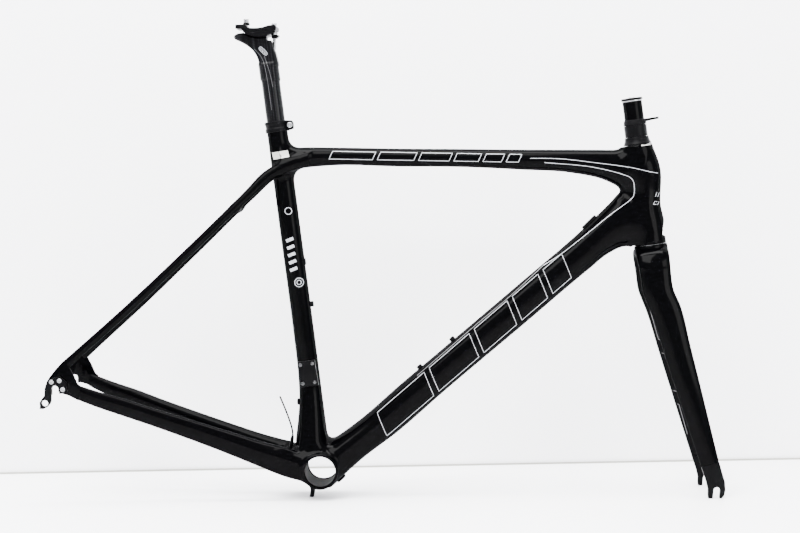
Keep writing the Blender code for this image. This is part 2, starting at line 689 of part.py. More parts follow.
collar_block = cutter(
    "collar_block",
    box_mesh("block", (COLLAR_BORE + 0.8, -BLOCK_HALF, COLLAR_LOW), (BLOCK_FRONT, BLOCK_HALF, COLLAR_HIGH)),
    SEATING,
)
collar_slit = cutter("collar_slit", box_mesh("slit", (10.0, -0.9, 500.0), (30.0, 0.9, 525.0)), SEATING)
collar_hole = cutter("collar_hole", turned("collar_hole", rod_profile(2.8, -20.0, 20.0), 16), SEATING,
                     (BOLT_OFFSET, 0.0, BOLT_HEIGHT), LAY_ALONG_Y)
join(collar, collar_block)
cut(collar, collar_slit, collar_hole)
collar_bolt = [
    (0.0, -20.5), (2.5, -20.5), (2.5, 0.0), (4.0, 0.0), (4.0, 2.6), (3.5, 3.1), (1.9, 3.1), (1.9, 0.9),
    (0.0, 0.9),
]
add("seat_collar_bolt", turned("collar_bolt", collar_bolt, 16), STEEL, SEATING,
    (BOLT_OFFSET, -BLOCK_HALF - GAP, BOLT_HEIGHT), toward_side(-1.0))
add("seat_collar_nut", turned("collar_nut", tube_profile(2.8, 3.9, 0.0, 3.0), 16), BLACK_METAL, SEATING,
    (BOLT_OFFSET, BLOCK_HALF + GAP, BOLT_HEIGHT), toward_side(1.0))

# Headset, as rings round the steerer's axis. Heights are above the top of the head tube.
RACE_GAP = 0.3
upper_outer = tube_profile(16.6, UPPER_BEARING_R - 0.2, -BEARING_DEPTH + 0.3, -0.2)
upper_inner = tube_profile(15.3, 16.6 - RACE_GAP, -BEARING_DEPTH + 0.3, -0.2)
lower_low, lower_high = -HEAD_LENGTH + 0.2, -HEAD_LENGTH + BEARING_DEPTH - 0.3
lower_outer = tube_profile(19.9, LOWER_BEARING_R - 0.2, lower_low, lower_high)
lower_inner = tube_profile(17.0, 19.9 - RACE_GAP, lower_low, lower_high)
wedge = [(14.6, -5.5), (15.0, -5.5), (15.0, 0.2), (17.4, 0.2), (17.4, 1.4), (14.6, 1.4)]
crown_race = [(16.9, -HEAD_LENGTH - 2.0), (23.6, -HEAD_LENGTH - 2.0), (22.8, -HEAD_LENGTH - 0.3),
              (16.9, -HEAD_LENGTH - 0.3)]
cover = [(14.7, 1.8), (18.0, 1.8), (18.0, 0.5), (20.6, 0.5), (20.4, 1.8), (18.9, 5.0), (17.7, 8.0),
         (17.3, 12.0), (14.7, 12.0)]
spacer = [(14.6, 12.3), (16.5, 12.3), (16.7, 12.6), (16.7, 28.9), (16.5, 29.2), (14.6, 29.2)]
for name, profile, look in (
    ("upper_bearing_outer_race", upper_outer, STEEL),
    ("lower_bearing_outer_race", lower_outer, STEEL),
    ("upper_bearing_inner_race", upper_inner, STEEL),
    ("lower_bearing_inner_race", lower_inner, STEEL),
    ("headset_compression_ring", wedge, BLACK_METAL),
    ("crown_race", crown_race, STEEL),
    ("headset_cover", cover, BLACK_METAL),
    ("steerer_spacer", spacer, BLACK_METAL),
):
    add(name, turned(name, profile), look, STEERING)

# Steerer: straight above, swelling to the lower bearing, open at both ends.
STEERER_TOP = 66.0
STEERER_LOW_R = 16.6
STEERER_BORE = 11.2
CROWN_TOP = -HEAD_LENGTH - 2.3
steerer = [
    (STEERER_BORE, CROWN_TOP - 16.0), (STEERER_LOW_R, CROWN_TOP - 16.0), (STEERER_LOW_R, -HEAD_LENGTH + 12.0),
    (STEERER_R, -HEAD_LENGTH + 50.0), (STEERER_R, STEERER_TOP - 0.6), (STEERER_R - 0.6, STEERER_TOP),
    (STEERER_BORE, STEERER_TOP),
]
add("steerer_tube", turned("steerer", steerer), CARBON, STEERING)

# Plastic clip round the steerer: a split ring with a pull tab in front.
clip_ring = [(14.6, 29.6), (16.6, 29.6), (16.8, 30.5), (16.4, 33.0), (15.6, 37.6), (14.6, 37.6)]
clip = add("steerer_clip", turned("clip", clip_ring), PLASTIC, STEERING)
tab_outline = [(15.0, 33.5), (20.0, 34.6), (35.2, 35.2), (35.2, 37.4), (15.0, 37.4)]
clip_tab = cutter("clip_tab", plate("clip_tab", tab_outline, -3.5, 3.5), STEERING)
clip_slit = cutter("clip_slit", box_mesh("clip_slit", (-20.0, -0.8, 25.0), (-10.0, 0.8, 45.0)), STEERING)
join(clip, clip_tab)
cut(clip, clip_slit)

# Top cap, its bolt, and the expander plug that the bolt pulls on.
cap = [(3.5, 66.3), (15.3, 66.3), (15.3, 68.2), (14.7, 68.9), (4.6, 69.1), (4.6, 67.8), (3.5, 67.8)]
cap_bolt = [(0.0, 42.0), (3.0, 42.0), (3.0, 68.1), (4.2, 68.1), (4.2, 70.6), (3.6, 71.2), (2.2, 71.2),
            (2.2, 69.4), (0.0, 69.4)]
plug = [(3.4, 38.0), (10.4, 38.0), (10.9, 42.0), (10.9, 62.0), (10.4, 65.8), (3.4, 65.8)]
add("top_cap", turned("cap", cap), BLACK_METAL, STEERING)
add("top_cap_bolt", turned("cap_bolt", cap_bolt, 16), STEEL, STEERING)
add("expander_plug", turned("plug", plug, 20), BLACK_METAL, STEERING)

# Fork crown: an arch over the wheel, from one blade's top to the other, bored for the steerer.
BLADE_TOP_DROP = 186.2
CROWN_ARCH = [
    (31.0, -BLADE_TOP_DROP, 90.0, 10.4, 22.8),
    (30.6, -176.5, 92.0, 10.3, 23.3),
    (27.0, -165.5, 122.0, 9.6, 24.0),
    (14.5, -158.8, 163.0, 8.8, 24.6),
    (0.0, -157.4, 180.0, 8.7, 24.8),
]


def crown_rings():
    """Sections across the arch: (y, z, heading in degrees, half thickness, half depth)."""
    left = CROWN_ARCH
    right = [(-y, z, 360.0 - turn, thick, depth) for y, z, turn, thick, depth in CROWN_ARCH[-2::-1]]
    found = []
    for y, z, turn, thick, depth in left + right:
        heading = math.radians(turn)
        normal = Vector((0.0, math.sin(heading), -math.cos(heading)))
        found.append(oval(Vector((-1.2, y, z)), Vector((depth, 0.0, 0.0)), normal * thick, 2.6, ROUND))
    return found


crown = add("fork_crown", skin("crown", crown_rings(), None), CARBON, STEERING)
crown_bore_mesh = turned("crown_bore", rod_profile(STEERER_LOW_R + GAP, -200.0, -100.0))
crown_bore = cutter("crown_bore", crown_bore_mesh, STEERING)
crown_face = cutter(
    "crown_face", box_mesh("crown_face", (-40.0, -27.0, CROWN_TOP), (40.0, 27.0, -100.0)), STEERING
)
cut(crown, crown_bore, crown_face)


def carry(piece, pivot):
    """Hangs a piece that is drawn in the frame's chart on a pivot, without moving it."""
    piece.parent = pivot
    piece.matrix_parent_inverse = pivot.matrix_basis.inverted()


def blade_stations(side):
    drop = BLADE_TOP_DROP + GAP
    return [
        (head_point(drop, -24.3), head_point(drop, 21.8), side * 31.0, 10.4, 2.3),
        ((446.3, 304.6), (485.7, 324.6), side * 36.0, 9.6, 2.2),
        ((474.7, 247.6), (510.3, 265.6), side * 40.5, 8.8, 2.2),
        ((503.3, 190.6), (534.9, 206.6), side * 45.0, 8.0, 2.2),
        ((532.1, 133.4), (559.3, 147.2), side * 49.3, 7.0, 2.2),
        ((551.2, 95.8), (575.2, 108.1), side * 52.8, 5.4, 2.3),
    ]


BLADE_WALL = 1.6
TIP_INNER = 0.5 * FRONT_SPACING
TIP_THICK = 6.5
SLOT_LEAN = 3.4
front_slot_outline = slot_outline(FRONT_AXLE, FRONT_SLOT, SLOT_LEAN, 30.0)
front_slot = cutter("front_slot", plate("front_slot", front_slot_outline, -90.0, 90.0))
tip_outline = [
    (551.3, 95.4), (560.6, 77.6), (565.4, 66.0), (566.4, 58.0), (568.2, floor_height(568.2)),
    (587.2, floor_height(587.2)), (590.3, 60.0), (591.0, 68.0), (588.4, 80.0), (575.4, 107.7),
]
for word, side in (("right", -1.0), ("left", 1.0)):
    blade_mesh = loft("blade_" + word, blade_stations(side), wall=BLADE_WALL, count=20)
    blade = add("fork_blade_" + word, blade_mesh, CARBON)
    carry(blade, STEERING)
    tip_low, tip_high = sorted((side * TIP_INNER, side * (TIP_INNER + TIP_THICK)))
    tip = add("fork_tip_" + word, plate("tip_" + word, tip_outline, tip_low, tip_high), BLACK_METAL)
    cut(tip, front_slot)
    carry(tip, STEERING)

# Seatpost: a round shaft whose head sweeps back under the saddle clamp.
POST = empty("post_axis", FRAMESET, (0.0, 0.0, 0.0), (0.0, math.radians(SEAT_ANGLE - 90.0), 0.0))
POST_LOW, POST_HIGH = 378.0, 607.0
POST_WALL = 2.0
RAIL_DROP = 33.5
ROCKER_R = 42.0
HEAD_HALF = 12.0
BOLT_REACH = 20.7


def level(x, z):
    """A point given by its distance from the saddle rails' centre, in axes that are level at rest."""
    return (x, z - RAIL_DROP)


head_level = empty("head_level", FRAMESET, (CLAMP_CENTRE[0], 0.0, CLAMP_CENTRE[1]), (0.0, -STANCE, 0.0))
head_outline = [
    level(24.4, -33.5), level(21.2, -27.0), level(18.8, -20.0), level(17.2, -14.0), level(10.5, -13.0),
]
head_outline += arc((0.0, 0.0), ROCKER_R + GAP, -75.6, -84.0, 2)
head_outline += [(4.4, -ROCKER_R - 2.6), (-4.4, -ROCKER_R - 2.6)]
head_outline += arc((0.0, 0.0), ROCKER_R + GAP, -96.0, -124.0, 6)
head_outline += [
    level(-35.8, -1.6), level(-39.0, -7.5), level(-37.5, -11.0), level(-33.0, -12.9), level(-25.5, -16.6),
    level(-18.0, -21.4), level(-10.5, -28.0), level(-4.5, -36.4), level(-0.9, -45.0), level(0.0, -56.0),
    level(23.5, -53.6), level(25.4, -42.0),
]
head_block = plate("post_head", head_outline, -HEAD_HALF, HEAD_HALF)
seatpost = add("seatpost", turned("shaft", rod_profile(POST_R, POST_LOW, POST_HIGH), 24), POST_CARBON, POST)
post_head = cutter("post_head", head_block, head_level)
join(seatpost, post_head)
shaft_bore = turned("shaft_bore", rod_profile(POST_R - POST_WALL, POST_LOW - 5.0, POST_HIGH - 22.0), 24)
POCKET_FLOOR = -13.4
rear_pocket = box_mesh(
    "rear_pocket", (-29.4, -8.0, POCKET_FLOOR - RAIL_DROP), (-12.0, 8.0, 6.0 - RAIL_DROP)
)
front_notch = box_mesh("front_notch", (11.0, -3.3, -32.0 - RAIL_DROP), (30.0, 3.3, 4.0 - RAIL_DROP))
cut(
    seatpost,
    cutter("shaft_bore", shaft_bore, POST),
    cutter("rear_pocket", rear_pocket, head_level),
    cutter("front_notch", front_notch, head_level),
)

# Saddle clamp: it rocks on the head about the centre of the head's curved seat.
RAIL_R = 3.5
RAIL_SPREAD = 22.0
RAIL_SINK = 0.8
CLAMP_HALF = 26.0
cradle_outline = [level(23.2, -0.3)] + arc((0.0, 0.0), ROCKER_R, -56.5, -123.5, 12) + [level(-23.2, -0.3)]
cradle_mesh = plate("cradle", cradle_outline, -CLAMP_HALF, CLAMP_HALF)
cradle = add("saddle_clamp_cradle", cradle_mesh, BLACK_METAL, CLAMP)
upper_outline = [
    level(24.0, 0.3), level(25.6, 3.5), level(23.0, 8.2), level(14.0, 7.4), level(6.0, 4.8), level(-8.0, 3.9),
    level(-16.5, 4.6), level(-19.5, 9.4), level(-34.0, 9.2), level(-34.5, 3.7), level(-25.4, 3.3),
    level(-24.4, 0.3),
]
upper_mesh = plate("upper_clamp", upper_outline, -CLAMP_HALF, CLAMP_HALF)
upper_clamp = add("saddle_clamp_top", upper_mesh, BLACK_METAL, CLAMP)
rail_spaces = [
    cutter("rail_space_" + word, turned("rail_space", rod_profile(RAIL_R + 0.1, -60.0, 60.0), 16), CLAMP,
           (0.0, side * RAIL_SPREAD, -RAIL_DROP - RAIL_SINK), (0.0, math.radians(90.0), 0.0))
    for word, side in (("right", -1.0), ("left", 1.0))
]
bolt_spaces = [
    cutter("bolt_space_" + word, turned("bolt_space", rod_profile(2.5 + GAP, -80.0, 20.0), 12), CLAMP,
           (reach, 0.0, 0.0))
    for word, reach in (("rear", -BOLT_REACH), ("front", BOLT_REACH))
]
cut(cradle, *rail_spaces, *bolt_spaces)
cut(upper_clamp, *rail_spaces, *bolt_spaces)


def clamp_bolt(low, seat, high):
    return [(0.0, low), (2.5, low), (2.5, seat), (4.0, seat), (4.0, high - 0.5), (3.5, high), (1.9, high),
            (1.9, high - 2.4), (0.0, high - 2.4)]


rear_bolt = clamp_bolt(level(0.0, -10.6)[1], level(0.0, 13.4)[1], level(0.0, 19.2)[1])
front_bolt = clamp_bolt(level(0.0, -27.0)[1], level(0.0, 8.6)[1], level(0.0, 12.2)[1])
add("saddle_clamp_rear_bolt", turned("rear_bolt", rear_bolt, 14), STEEL, CLAMP, (-BOLT_REACH, 0.0, 0.0))
add("saddle_clamp_front_bolt", turned("front_bolt", front_bolt, 14), STEEL, CLAMP, (BOLT_REACH, 0.0, 0.0))
rear_nut = turned("rear_nut", rod_profile(3.3, -7.0, 7.0), 14)
rear_nut_piece = add("saddle_clamp_rear_nut", rear_nut, BLACK_METAL, CLAMP,
                     (-BOLT_REACH, 0.0, level(0.0, -7.2)[1]), LAY_ALONG_Y)
front_nut_outline = [
    level(17.0, -5.4), level(24.8, -5.0), level(28.6, -6.4), level(24.4, -10.6), level(17.0, -10.8),
]
front_nut = plate("front_nut", front_nut_outline, -8.0, 8.0)
front_nut_piece = add("saddle_clamp_front_nut", front_nut, BLACK_METAL, CLAMP)
cut(rear_nut_piece, bolt_spaces[0])
cut(front_nut_piece, bolt_spaces[1])


# The frameset is tipped onto its feet, and the middle of its outline is put over the origin.
def settle():
    FRAMESET.rotation_euler = (0.0, STANCE, 0.0)
    lift = FOOT[0] * math.sin(STANCE) - FOOT[1] * math.cos(STANCE)
    FRAMESET.location = (0.0, 0.0, MM * lift)
    bpy.context.view_layer.update()
    graph = bpy.context.evaluated_depsgraph_get()
    lows = [math.inf] * 3
    highs = [-math.inf] * 3
    for piece in bpy.context.scene.objects:
        if piece.type not in {"MESH", "CURVE"} or piece.hide_render:
            continue
        evaluated = piece.evaluated_get(graph)
        shape = evaluated.to_mesh()
        for vertex in shape.vertices:
            place = piece.matrix_world @ vertex.co
            lows = [min(a, b) for a, b in zip(lows, place)]
            highs = [max(a, b) for a, b in zip(highs, place)]
        evaluated.to_mesh_clear()
    middle = [0.5 * (a + b) for a, b in zip(lows, highs)]
    FRAMESET.location = (-middle[0], -middle[1], MM * lift - lows[2])


settle()
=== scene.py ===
"""Looks of a bare carbon road frameset: a seamless frame skin, a lofted fork, turned hardware and fine graphics.

Lengths are millimetres in the frame's chart: x forward, y to the left, z up in the riding position, from the
bottom bracket's centre. The chart is laid on the CAD frame, and every mesh is written in metres.
"""
import math

import bmesh
import bpy
import numpy as np
from mathutils import Matrix, Vector
from mathutils.bvhtree import BVHTree


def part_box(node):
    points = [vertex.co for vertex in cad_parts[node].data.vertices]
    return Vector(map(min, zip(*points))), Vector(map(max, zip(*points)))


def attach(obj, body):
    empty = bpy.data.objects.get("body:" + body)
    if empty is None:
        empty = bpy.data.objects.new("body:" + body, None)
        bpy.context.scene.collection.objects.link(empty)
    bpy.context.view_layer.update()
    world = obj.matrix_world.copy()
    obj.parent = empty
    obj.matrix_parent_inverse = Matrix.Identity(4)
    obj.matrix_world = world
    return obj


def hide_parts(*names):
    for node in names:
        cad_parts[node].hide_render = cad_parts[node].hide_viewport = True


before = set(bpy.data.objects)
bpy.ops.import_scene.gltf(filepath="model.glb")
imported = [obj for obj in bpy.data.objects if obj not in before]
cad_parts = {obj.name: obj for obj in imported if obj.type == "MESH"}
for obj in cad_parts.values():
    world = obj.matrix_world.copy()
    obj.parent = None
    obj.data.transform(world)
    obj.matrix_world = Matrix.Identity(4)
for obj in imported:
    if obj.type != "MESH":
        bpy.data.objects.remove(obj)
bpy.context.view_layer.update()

# Driving dimensions, the same as the CAD's

MM = 0.001
HEAD_TOP = (390.5, 547.5)
HEAD_ANGLE = 73.6
HEAD_LENGTH = 146.5
SEAT_ANGLE = 74.0
SEAT_TUBE_LENGTH = 520.0
SHELL_HALF = 43.25
SHELL_BORE_R = 23.0
SHELL_R = 26.0
REAR_AXLE = (-399.5, 67.0)
FRONT_AXLE = (578.5, 66.0)
STEERER_R = 14.3
POST_R = 13.6
FOOT = (-8.1, -45.0)
TIP_FOOT = (585.2, 55.0)
CLAMP_CENTRE = (-191.7, 662.0)
RAIL_DROP = 33.5
STANCE = math.atan2(TIP_FOOT[1] - FOOT[1], TIP_FOOT[0] - FOOT[0])
GRID = 2.0

shell_low, shell_high = (Vector(corner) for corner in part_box("bottom_bracket_shell"))
BB = 0.5 * (shell_low + shell_high)


def tilt(degrees):
    return Matrix.Rotation(math.radians(degrees), 4, "Y")


CHART = Matrix.Translation(BB) @ Matrix.Rotation(STANCE, 4, "Y")
STEER = CHART @ Matrix.Translation((MM * HEAD_TOP[0], 0.0, MM * HEAD_TOP[1])) @ tilt(HEAD_ANGLE - 90.0)
SEAT = CHART @ tilt(SEAT_ANGLE - 90.0)
LEVEL = CHART @ Matrix.Translation((MM * CLAMP_CENTRE[0], 0.0, MM * CLAMP_CENTRE[1]))
LEVEL = LEVEL @ Matrix.Rotation(-STANCE, 4, "Y")


def seat_point(height, offset):
    turn = math.radians(SEAT_ANGLE)
    return (-height * math.cos(turn) + offset * math.sin(turn),
            height * math.sin(turn) + offset * math.cos(turn))


def head_point(drop, offset):
    turn = math.radians(HEAD_ANGLE)
    return (HEAD_TOP[0] + drop * math.cos(turn) + offset * math.sin(turn),
            HEAD_TOP[1] - drop * math.sin(turn) + offset * math.cos(turn))


# Camera: a long lens, a little above the frameset and turned slightly to the left

CAMERA_SPOT = Vector((184.1, -2673.0, 460.3))
CAMERA_TURN = math.atan2(45.0, 1800.0)
CAMERA_DIP = math.radians(3.385)
CAMERA_ROLL = math.radians(0.917)


def add_camera():
    ahead = Vector((-math.sin(CAMERA_TURN) * math.cos(CAMERA_DIP),
                    math.cos(CAMERA_TURN) * math.cos(CAMERA_DIP), -math.sin(CAMERA_DIP)))
    right = Vector((math.cos(CAMERA_TURN), math.sin(CAMERA_TURN), 0.0))
    axes = Matrix((right, right.cross(ahead), -ahead)).transposed().to_4x4()
    data = bpy.data.cameras.new("camera")
    data.lens = 81.0
    data.sensor_width = 36.0
    made = bpy.data.objects.new("camera", data)
    bpy.context.scene.collection.objects.link(made)
    roll = Matrix.Rotation(CAMERA_ROLL, 4, "Y")
    made.matrix_world = Matrix.Translation(BB) @ roll @ Matrix.Translation(MM * CAMERA_SPOT) @ axes
    bpy.context.scene.camera = made


# Materials

def shader_of(name, colour, roughness, metallic=0.0, coat=0.0, coat_roughness=0.1, shine=0.5):
    made = bpy.data.materials.new(name)
    made.use_nodes = True
    shader = made.node_tree.nodes["Principled BSDF"]
    shader.inputs["Base Color"].default_value = (*colour, 1.0)
    shader.inputs["Roughness"].default_value = roughness
    shader.inputs["Metallic"].default_value = metallic
    shader.inputs["Coat Weight"].default_value = coat
    shader.inputs["Coat Roughness"].default_value = coat_roughness
    shader.inputs["Specular IOR Level"].default_value = shine
    return made, made.node_tree, shader


def noise(tree, scale, detail=3.0, stretch=None):
    coordinates = tree.nodes.new("ShaderNodeTexCoord")
    texture = tree.nodes.new("ShaderNodeTexNoise")
    texture.inputs["Scale"].default_value = scale
    texture.inputs["Detail"].default_value = detail
    source = coordinates.outputs["Object"]
    if stretch is not None:
        mapping = tree.nodes.new("ShaderNodeMapping")
        mapping.inputs["Scale"].default_value = stretch
        mapping.inputs["Rotation"].default_value = (0.0, STANCE, 0.0)
        tree.links.new(source, mapping.inputs["Vector"])
        source = mapping.outputs["Vector"]
    tree.links.new(source, texture.inputs["Vector"])
    return texture


def spread(tree, source, low, high, start=0.35, end=0.65):
    """Maps a texture's value on to a range of values."""
    made = tree.nodes.new("ShaderNodeMapRange")
    made.inputs["From Min"].default_value = start
    made.inputs["From Max"].default_value = end
    made.inputs["To Min"].default_value = low
    made.inputs["To Max"].default_value = high
    tree.links.new(source, made.inputs["Value"])
    return made.outputs["Result"]


def colours(tree, factor, first, second):
    made = tree.nodes.new("ShaderNodeMix")
    made.data_type = "RGBA"
    made.inputs["A"].default_value = (*first, 1.0)
    made.inputs["B"].default_value = (*second, 1.0)
    tree.links.new(factor, made.inputs["Factor"])
    return made.outputs["Result"]


def bumped(tree, shader, height, strength, distance):
    made = tree.nodes.new("ShaderNodeBump")
    made.inputs["Strength"].default_value = strength
    made.inputs["Distance"].default_value = distance
    tree.links.new(height, made.inputs["Height"])
    tree.links.new(made.outputs["Normal"], shader.inputs["Normal"])


def satin_carbon():
    """Black lacquer over carbon: fibre streaks under it, and a faint waviness in the coat."""
    made, tree, shader = shader_of("satin_carbon", (0.001, 0.001, 0.001), 0.3, 0.0, 0.045, 0.1, 0.0)
    fibres = noise(tree, 420.0, 2.0, (0.25, 1.0, 1.0))
    tint = colours(tree, spread(tree, fibres.outputs["Fac"], 0.0, 1.0), (0.0001, 0.0001, 0.00015),
                   (0.0005, 0.0005, 0.0007))
    tree.links.new(tint, shader.inputs["Base Color"])
    cloud = noise(tree, 24.0)
    tree.links.new(spread(tree, cloud.outputs["Fac"], 0.24, 0.36), shader.inputs["Roughness"])
    ripple = noise(tree, 55.0, 1.0)
    bumped(tree, shader, ripple.outputs["Fac"], 0.06, 0.0006)
    return made


def woven_carbon():
    """A clear-coated twill: diagonal bands of tows, showing through a fine check."""
    made, tree, shader = shader_of("gloss_carbon", (0.006, 0.006, 0.006), 0.3, 0.0, 0.06, 0.06, 0.02)
    coordinates = tree.nodes.new("ShaderNodeTexCoord")
    mapping = tree.nodes.new("ShaderNodeMapping")
    mapping.inputs["Rotation"].default_value = (0.0, 0.0, math.radians(45.0))
    tree.links.new(coordinates.outputs["UV"], mapping.inputs["Vector"])
    tows = tree.nodes.new("ShaderNodeTexWave")
    tows.wave_type = "BANDS"
    tows.bands_direction = "DIAGONAL"
    tows.inputs["Scale"].default_value = 110.0
    tree.links.new(mapping.outputs["Vector"], tows.inputs["Vector"])
    checks = tree.nodes.new("ShaderNodeTexChecker")
    checks.inputs["Scale"].default_value = 620.0
    checks.inputs["Color1"].default_value = (1.0, 1.0, 1.0, 1.0)
    checks.inputs["Color2"].default_value = (0.0, 0.0, 0.0, 1.0)
    tree.links.new(mapping.outputs["Vector"], checks.inputs["Vector"])
    twill = tree.nodes.new("ShaderNodeMath")
    twill.operation = "MULTIPLY"
    tree.links.new(tows.outputs["Fac"], twill.inputs[0])
    tree.links.new(checks.outputs["Fac"], twill.inputs[1])
    tint = colours(tree, twill.outputs["Value"], (0.0006, 0.0006, 0.0008), (0.007, 0.007, 0.008))
    tree.links.new(tint, shader.inputs["Base Color"])
    return made


def anodised():
    made, tree, shader = shader_of("black_anodised", (0.001, 0.001, 0.0012), 0.36, 0.03, 0.0, 0.1, 0.03)
    grain = noise(tree, 1400.0, 2.0)
    tree.links.new(spread(tree, grain.outputs["Fac"], 0.3, 0.46), shader.inputs["Roughness"])
    bumped(tree, shader, grain.outputs["Fac"], 0.08, 0.0001)
    return made


def steel(name, tone):
    made, tree, shader = shader_of(name, (tone, tone, tone), 0.26, 1.0)
    brushed = noise(tree, 900.0, 3.0, (1.0, 1.0, 0.15))
    tree.links.new(spread(tree, brushed.outputs["Fac"], 0.18, 0.36), shader.inputs["Roughness"])
    tint = colours(tree, brushed.outputs["Fac"], (0.75 * tone, 0.76 * tone, 0.78 * tone),
                   (1.15 * tone, 1.16 * tone, 1.18 * tone))
    tree.links.new(tint, shader.inputs["Base Color"])
    return made


def shell_paint():
    """The bare inside of the shell: dead black, with the moulding's grain."""
    made, tree, shader = shader_of("shell_lining", (0.0006, 0.0006, 0.0006), 0.9, shine=0.0)
    grain = noise(tree, 700.0)
    bumped(tree, shader, grain.outputs["Fac"], 0.2, 0.0002)
    tree.links.new(spread(tree, grain.outputs["Fac"], 0.8, 0.95), shader.inputs["Roughness"])
    return made


def rubber():
    made, tree, shader = shader_of("black_rubber", (0.001, 0.001, 0.001), 0.75, shine=0.02)
    grain = noise(tree, 900.0)
    bumped(tree, shader, grain.outputs["Fac"], 0.25, 0.0002)
    tree.links.new(spread(tree, grain.outputs["Fac"], 0.65, 0.85), shader.inputs["Roughness"])
    return made


def plastic():
    made, tree, shader = shader_of("black_plastic", (0.001, 0.001, 0.0012), 0.5, shine=0.03)
    grain = noise(tree, 1600.0)
    bumped(tree, shader, grain.outputs["Fac"], 0.15, 0.0001)
    tree.links.new(spread(tree, grain.outputs["Fac"], 0.42, 0.58), shader.inputs["Roughness"])
    return made


def printed(name, colour, worn):
    """Ink under the lacquer, a little uneven where it is worn; the same build gives the flat grey of the painted
    highlights.
    """
    made, tree, shader = shader_of(name, colour, 0.4, 0.0, 0.5, 0.15)
    patches = noise(tree, 160.0)
    dull = tuple(worn * v for v in colour)
    tint = colours(tree, spread(tree, patches.outputs["Fac"], 0.0, 1.0), dull, colour)
    tree.links.new(tint, shader.inputs["Base Color"])
    return made


def stage_paint(name, colour, roughness):
    made, tree, shader = shader_of(name, colour, roughness)
    cloud = noise(tree, 3.0)
    tint = colours(tree, cloud.outputs["Fac"], tuple(0.985 * v for v in colour), colour)
    tree.links.new(tint, shader.inputs["Base Color"])
    return made


CARBON = satin_carbon()
WEAVE = woven_carbon()
ANODISED = anodised()
STEEL = steel("bright_steel", 0.3)
DULL_STEEL = steel("dull_steel", 0.05)
LINING = shell_paint()
RUBBER = rubber()
PLASTIC = plastic()
PALE_INK = printed("pale_ink", (0.3, 0.31, 0.33), 0.7)
GREY_INK = printed("grey_ink", (0.035, 0.035, 0.038), 0.6)
# The flat pale grey of the painted highlights on the head tube's rim and at the seat cluster.
PAINTED_HIGHLIGHT_GREY = printed("painted_highlight_grey", (0.36, 0.36, 0.34), 0.85)


# Placing pieces

def put(name, points, faces, axes, look, body, nodes=(), sharp=40.0):
    """Writes a mesh from millimetre points in the given axes, and hangs it on its body."""
    mesh = bpy.data.meshes.new(name)
    turn = np.array(axes)
    world = np.asarray(points, dtype=float) * MM @ turn[:3, :3].T + turn[:3, 3]
    mesh.from_pydata(world.tolist(), [], [tuple(int(v) for v in face) for face in faces])
    mesh.validate()
    mesh.materials.append(look)
    made = bpy.data.objects.new(name, mesh)
    bpy.context.scene.collection.objects.link(made)
    return settle(made, body, nodes, sharp)


def settle(made, body, nodes=(), sharp=40.0):
    mesh = made.data
    shape = bmesh.new()
    shape.from_mesh(mesh)
    bmesh.ops.recalc_face_normals(shape, faces=shape.faces)
    shape.to_mesh(mesh)
    shape.free()
    mesh.shade_smooth()
    mesh.set_sharp_from_angle(angle=math.radians(sharp))
    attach(made, body)
    if nodes:
        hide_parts(*nodes)
    return made


def baked(made):
    """Applies a piece's modifiers to its mesh, and removes the modifiers."""
    graph = bpy.context.evaluated_depsgraph_get()
    mesh = bpy.data.meshes.new_from_object(made.evaluated_get(graph))
    made.modifiers.clear()
    made.data = mesh


def softened(profile, radius):
    """Rounds the corners of a closed profile of (radius, height) points."""
    found = []
    count = len(profile)
    for k in range(count):
        before, here, after = (Vector(profile[(k + step) % count][:2]) for step in (-1, 0, 1))
        if here.x < 1e-6:
            found.append(tuple(here))
            continue
        back, ahead = before - here, after - here
        reach = min(radius, 0.4 * back.length, 0.4 * ahead.length)
        start, end = here + back.normalized() * reach, here + ahead.normalized() * reach
        for part in (0.0, 0.5, 1.0):
            a, b = start.lerp(here, part), here.lerp(end, part)
            found.append(tuple(a.lerp(b, part)))
    return found


def lathe(name, profile, axes, look, body, nodes=(), soft=0.35, count=72):
    """A closed profile turned round the axes' z, with its corners rounded."""
    points, rows = [], []
    rounded = softened(profile, soft)
    for radius, height in rounded:
        if radius < 1e-6:
            rows.append([len(points)] * count)
            points.append((0.0, 0.0, height))
            continue
        rows.append(range(len(points), len(points) + count))
        for k in range(count):
            turn = 2.0 * math.pi * k / count
            points.append((radius * math.cos(turn), radius * math.sin(turn), height))
    faces = []
    for i in range(len(rounded)):
        here, there = rows[i], rows[(i + 1) % len(rounded)]
        if here[0] == here[1] and there[0] == there[1]:
            continue
        for k in range(count):
            j = (k + 1) % count
            face = list(dict.fromkeys((here[k], here[j], there[j], there[k])))
            faces.append(face)
    return put(name, points, faces, axes, look, body, nodes)


def at(axes, x, y, z, turn=None):
    moved = axes @ Matrix.Translation((MM * x, MM * y, MM * z))
    return moved if turn is None else moved @ turn


TO_RIGHT = Matrix.Rotation(math.radians(90.0), 4, "X")
TO_LEFT = Matrix.Rotation(math.radians(-90.0), 4, "X")


def arc(centre, radius, start, end, steps):
    found = []
    for k in range(steps + 1):
        turn = math.radians(start + (end - start) * k / steps)
        found.append((centre[0] + radius * math.cos(turn), centre[1] + radius * math.sin(turn)))
    return found


def plate_mesh(outline, low, high):
    count = len(outline)
    points = [(x, low, z) for x, z in outline] + [(x, high, z) for x, z in outline]
    faces = [range(count), range(2 * count - 1, count - 1, -1)]
    faces += [(k, k + count, (k + 1) % count + count, (k + 1) % count) for k in range(count)]
    return points, faces


def smooth_outline(outline, steps=4):
    """A closed outline through the given points, as a smooth curve."""
    found = []
    count = len(outline)
    for k in range(count):
        p0, p1, p2, p3 = (Vector(outline[(k + step) % count]) for step in (-1, 0, 1, 2))
        for i in range(steps):
            t = i / steps
            found.append(tuple(0.5 * (2.0 * p1 + (p2 - p0) * t + (2.0 * p0 - 5.0 * p1 + 4.0 * p2 - p3) * t * t
                                      + (3.0 * p1 - p0 - 3.0 * p2 + p3) * t ** 3)))
    return found


